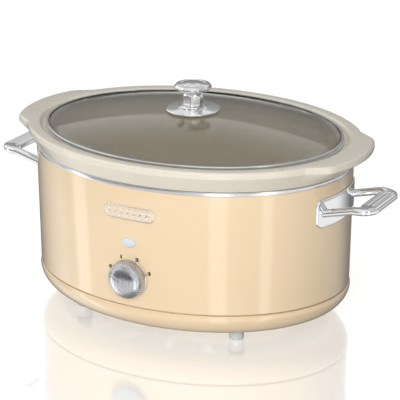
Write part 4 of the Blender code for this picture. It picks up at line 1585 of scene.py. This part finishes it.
@dataclass
class Studio:
    """The pale floor, the soft lights and the camera."""

    datum: Datum
    azimuth: float = 28.524
    elevation: float = 19.858
    distance: float = 1.89884
    lens: float = 167.73
    aim: tuple[float, float, float] = (0.007917, 0.003608, 0.107760)
    shade_azimuth: float = 105.0
    back_azimuth: float = 208.5
    back_level: float = 0.2
    tilt: float = 0.2
    strips: tuple[Strip, ...] = (
        Strip(-65.0, 3.0, 4.0, 1.7), Strip(22.9, 3.0, 4.5, 1.6), Strip(57.1, 2.0, 4.0, 1.7),
        Strip(-100.0, 14.0, 10.0, 0.5))
    lamps: tuple[Lamp, ...] = (
        Lamp("key", 22.0, 20.0, 1.6, 35.5), Lamp("left_fill", -55.0, 24.0, 1.4, 2.0),
        Lamp("top", 0.0, 86.0, 1.6, 5.0))
    lamp_distance: float = 2.2
    lit: float = 0.52
    shaded: float = 0.19
    floor_bounce: float = 1.7
    floor_glow: float = 0.31
    sky_stops: tuple[tuple[float, float], ...] = (
        (0.0, 0.30), (0.13, 0.45), (0.21, 0.95), (0.41, 0.95), (0.45, 0.30),
        (0.50, 0.16), (0.692, 0.40), (0.699, 0.86), (0.83, 0.52), (1.0, 0.90))

    def build(self) -> None:
        """Builds the stage, the lights and the camera."""
        self.floor()
        self.film()
        self.world()
        self.lights()
        self.camera()
        settings = bpy.context.scene.view_settings
        settings.view_transform = "Standard"
        settings.look = "None"

    def direction(self, azimuth: float, elevation: float) -> Vector:
        """Gives the unit vector towards a place round the cooker.

        Args:
            azimuth: Azimuth in degrees, 0 in front.
            elevation: Elevation in degrees.

        Returns:
            The direction.
        """
        a, e = math.radians(azimuth), math.radians(elevation)
        return Vector((math.sin(a) * math.cos(e), -math.cos(a) * math.cos(e), math.sin(e)))

    def camera(self) -> None:
        """Places the camera at the viewing angle."""
        data = bpy.data.cameras.new("camera")
        data.lens = self.lens
        data.sensor_width = 36.0
        data.clip_end = 20.0
        obj = bpy.data.objects.new("camera", data)
        bpy.context.scene.collection.objects.link(obj)
        back = self.direction(self.azimuth, self.elevation)
        obj.location = Vector(self.aim) + back * self.distance
        obj.rotation_mode = "QUATERNION"
        obj.rotation_quaternion = (-back).to_track_quat("-Z", "Y")
        bpy.context.scene.camera = obj

    def floor(self) -> None:
        """Lays the pale floor, which glows faintly so that it stays white."""
        shape = bmesh.new()
        bmesh.ops.create_grid(shape, x_segments=8, y_segments=8, size=6.0)
        mesh = bpy.data.meshes.new("floor")
        shape.to_mesh(mesh)
        shape.free()
        obj = bpy.data.objects.new("floor", mesh)
        bpy.context.scene.collection.objects.link(obj)
        paint = Paint("studio_floor", (0.80, 0.80, 0.80), 0.05, 0.5)
        paint.set(**{"IOR": 2.0, "Emission Color": (1.0, 1.0, 1.0, 1.0),
                     "Emission Strength": self.floor_glow})
        paint.rough(Effect.MOTTLE, 3.0, 0.04, 0.07)
        mesh.materials.append(paint.material)
        obj.visible_glossy = False
        obj.visible_diffuse = False

    def film(self) -> None:
        """Lays a clear film on the floor, which marks the light that the floor mirrors."""
        mesh = bpy.data.meshes.new("film")
        corners = [(-6, -6, 1e-4), (6, -6, 1e-4), (6, 6, 1e-4), (-6, 6, 1e-4)]
        mesh.from_pydata(corners, [], [(0, 1, 2, 3)])
        obj = bpy.data.objects.new("film", mesh)
        bpy.context.scene.collection.objects.link(obj)
        material = bpy.data.materials.new("clear_film")
        material.use_nodes = True
        graph = NodeGraph(material.node_tree)
        clear = graph.add("ShaderNodeBsdfTransparent")
        output = material.node_tree.nodes["Material Output"]
        graph.feed(output.inputs["Surface"], clear.outputs[0])
        mesh.materials.append(material)
        for kind in ("glossy", "diffuse", "transmission", "volume_scatter", "shadow"):
            setattr(obj, f"visible_{kind}", False)

    def world(self) -> None:
        """Sets plain white round the scene, and strip lights for what is polished."""
        world = bpy.data.worlds.new("studio")
        world.use_nodes = True
        bpy.context.scene.world = world
        graph = NodeGraph(world.node_tree)
        output = world.node_tree.nodes["World Output"]
        plain = world.node_tree.nodes["Background"]
        graph.feed(plain.inputs["Color"], (1.0, 1.0, 1.0, 1.0))
        place = graph.add("ShaderNodeTexCoord").outputs["Generated"]
        axes = graph.add("ShaderNodeSeparateXYZ", {0: place}).outputs
        away = self.towards(graph, axes, self.shade_azimuth)
        graph.feed(plain.inputs["Strength"], graph.math(
            "MULTIPLY", graph.ramp(away, -0.1, 0.9, self.lit, self.shaded),
            graph.ramp(axes[2], -0.75, -0.25, self.floor_bounce, 1.0)))
        flat = graph.math("SQRT", graph.math(
            "ADD", graph.math("MULTIPLY", axes[0], axes[0]),
            graph.math("MULTIPLY_ADD", axes[1], axes[1], 1e-6)))
        tilted = graph.math("SUBTRACT", axes[2], graph.math(
            "MULTIPLY", self.towards(graph, axes, self.azimuth + 90.0), self.tilt))
        level = self.sky(graph, tilted)
        for strip in self.strips:
            near = graph.math("DIVIDE", self.towards(graph, axes, strip.azimuth), flat)
            inside = math.cos(math.radians(strip.half_width))
            outside = math.cos(math.radians(strip.half_width + strip.soft))
            mask = graph.ramp(near, outside, inside, 0.0, strip.strength)
            tall = graph.ramp(graph.math("ABSOLUTE", axes[2]), 0.9, 0.6)
            level = graph.math("ADD", level, graph.math("MULTIPLY", mask, tall))
        behind = graph.ramp(self.towards(graph, axes, self.back_azimuth), 0.26, 0.82,
                            1.0, self.back_level)
        level = graph.math("MULTIPLY", level, graph.math(
            "MAXIMUM", behind, graph.ramp(axes[2], -0.28, -0.20)))
        shiny = graph.add("ShaderNodeBackground", {"Color": level, "Strength": 1.0})
        seen = graph.add("ShaderNodeBackground", {"Color": (1, 1, 1, 1), "Strength": 1.0})
        rays = graph.add("ShaderNodeLightPath")
        film = graph.math("GREATER_THAN", rays.outputs["Transparent Depth"], 0.5)
        mirrored = graph.add("ShaderNodeMixShader", {
            0: film, 1: shiny.outputs[0], 2: seen.outputs[0]})
        mixed = graph.add("ShaderNodeMixShader", {
            0: rays.outputs["Is Glossy Ray"], 1: plain.outputs[0], 2: mirrored.outputs[0]})
        final = graph.add("ShaderNodeMixShader", {
            0: rays.outputs["Is Camera Ray"], 1: mixed.outputs[0], 2: seen.outputs[0]})
        graph.feed(output.inputs["Surface"], final.outputs[0])

    def towards(self, graph: NodeGraph, axes: bpy.types.bpy_prop_collection,
                azimuth: float) -> bpy.types.NodeSocket:
        """Measures how far a direction points towards a level azimuth.

        Args:
            graph: The world's graph.
            axes: The direction's three parts.
            azimuth: Azimuth to compare with, in degrees.

        Returns:
            The cosine between the two, for a level direction.
        """
        aim = self.direction(azimuth, 0.0)
        return graph.math("ADD", graph.math("MULTIPLY", axes[0], aim.x),
                          graph.math("MULTIPLY", axes[1], aim.y))

    def sky(self, graph: NodeGraph, up: bpy.types.NodeSocket) -> bpy.types.NodeSocket:
        """Grades the reflected surroundings by height: floor, dark horizon, soft ceiling.

        Args:
            graph: The world's graph.
            up: The height of a direction, from -1 to 1.

        Returns:
            The brightness there.
        """
        share = graph.math("MULTIPLY_ADD", up, 0.5, 0.5)
        ramp = graph.add("ShaderNodeValToRGB", {"Fac": share})
        ends = ramp.color_ramp.elements
        while len(ends) < len(self.sky_stops):
            ends.new(0.5)
        for element, (place, value) in zip(ends, self.sky_stops):
            element.position = place
            element.color = (value, value, value, 1.0)
        return ramp.outputs["Color"]

    def lights(self) -> None:
        """Hangs the key lamp by the camera, and weak ones at the left and above."""
        for lamp in self.lamps:
            data = bpy.data.lights.new(lamp.name, "AREA")
            data.size = lamp.size
            data.energy = lamp.power
            obj = bpy.data.objects.new(lamp.name, data)
            bpy.context.scene.collection.objects.link(obj)
            back = self.direction(lamp.azimuth, lamp.elevation)
            obj.location = Vector(self.aim) + back * self.lamp_distance
            obj.rotation_mode = "QUATERNION"
            obj.rotation_quaternion = back.to_track_quat("Z", "Y")
            obj.visible_glossy = False


def main() -> None:
    """Builds every sub-assembly in order."""
    logging.basicConfig(level=logging.INFO, format="%(message)s")
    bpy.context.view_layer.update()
    datum = Datum.from_frame()
    palette = Palette()
    for part in (Body(datum, palette), Crock(datum, palette), Lid(datum, palette),
                 Handles(datum, palette), Front(datum, palette), Inlet(datum, palette),
                 Interior(palette), Studio(datum)):
        log.info("building %s", type(part).__name__)
        part.build()


if __name__ == "__main__":
    main()
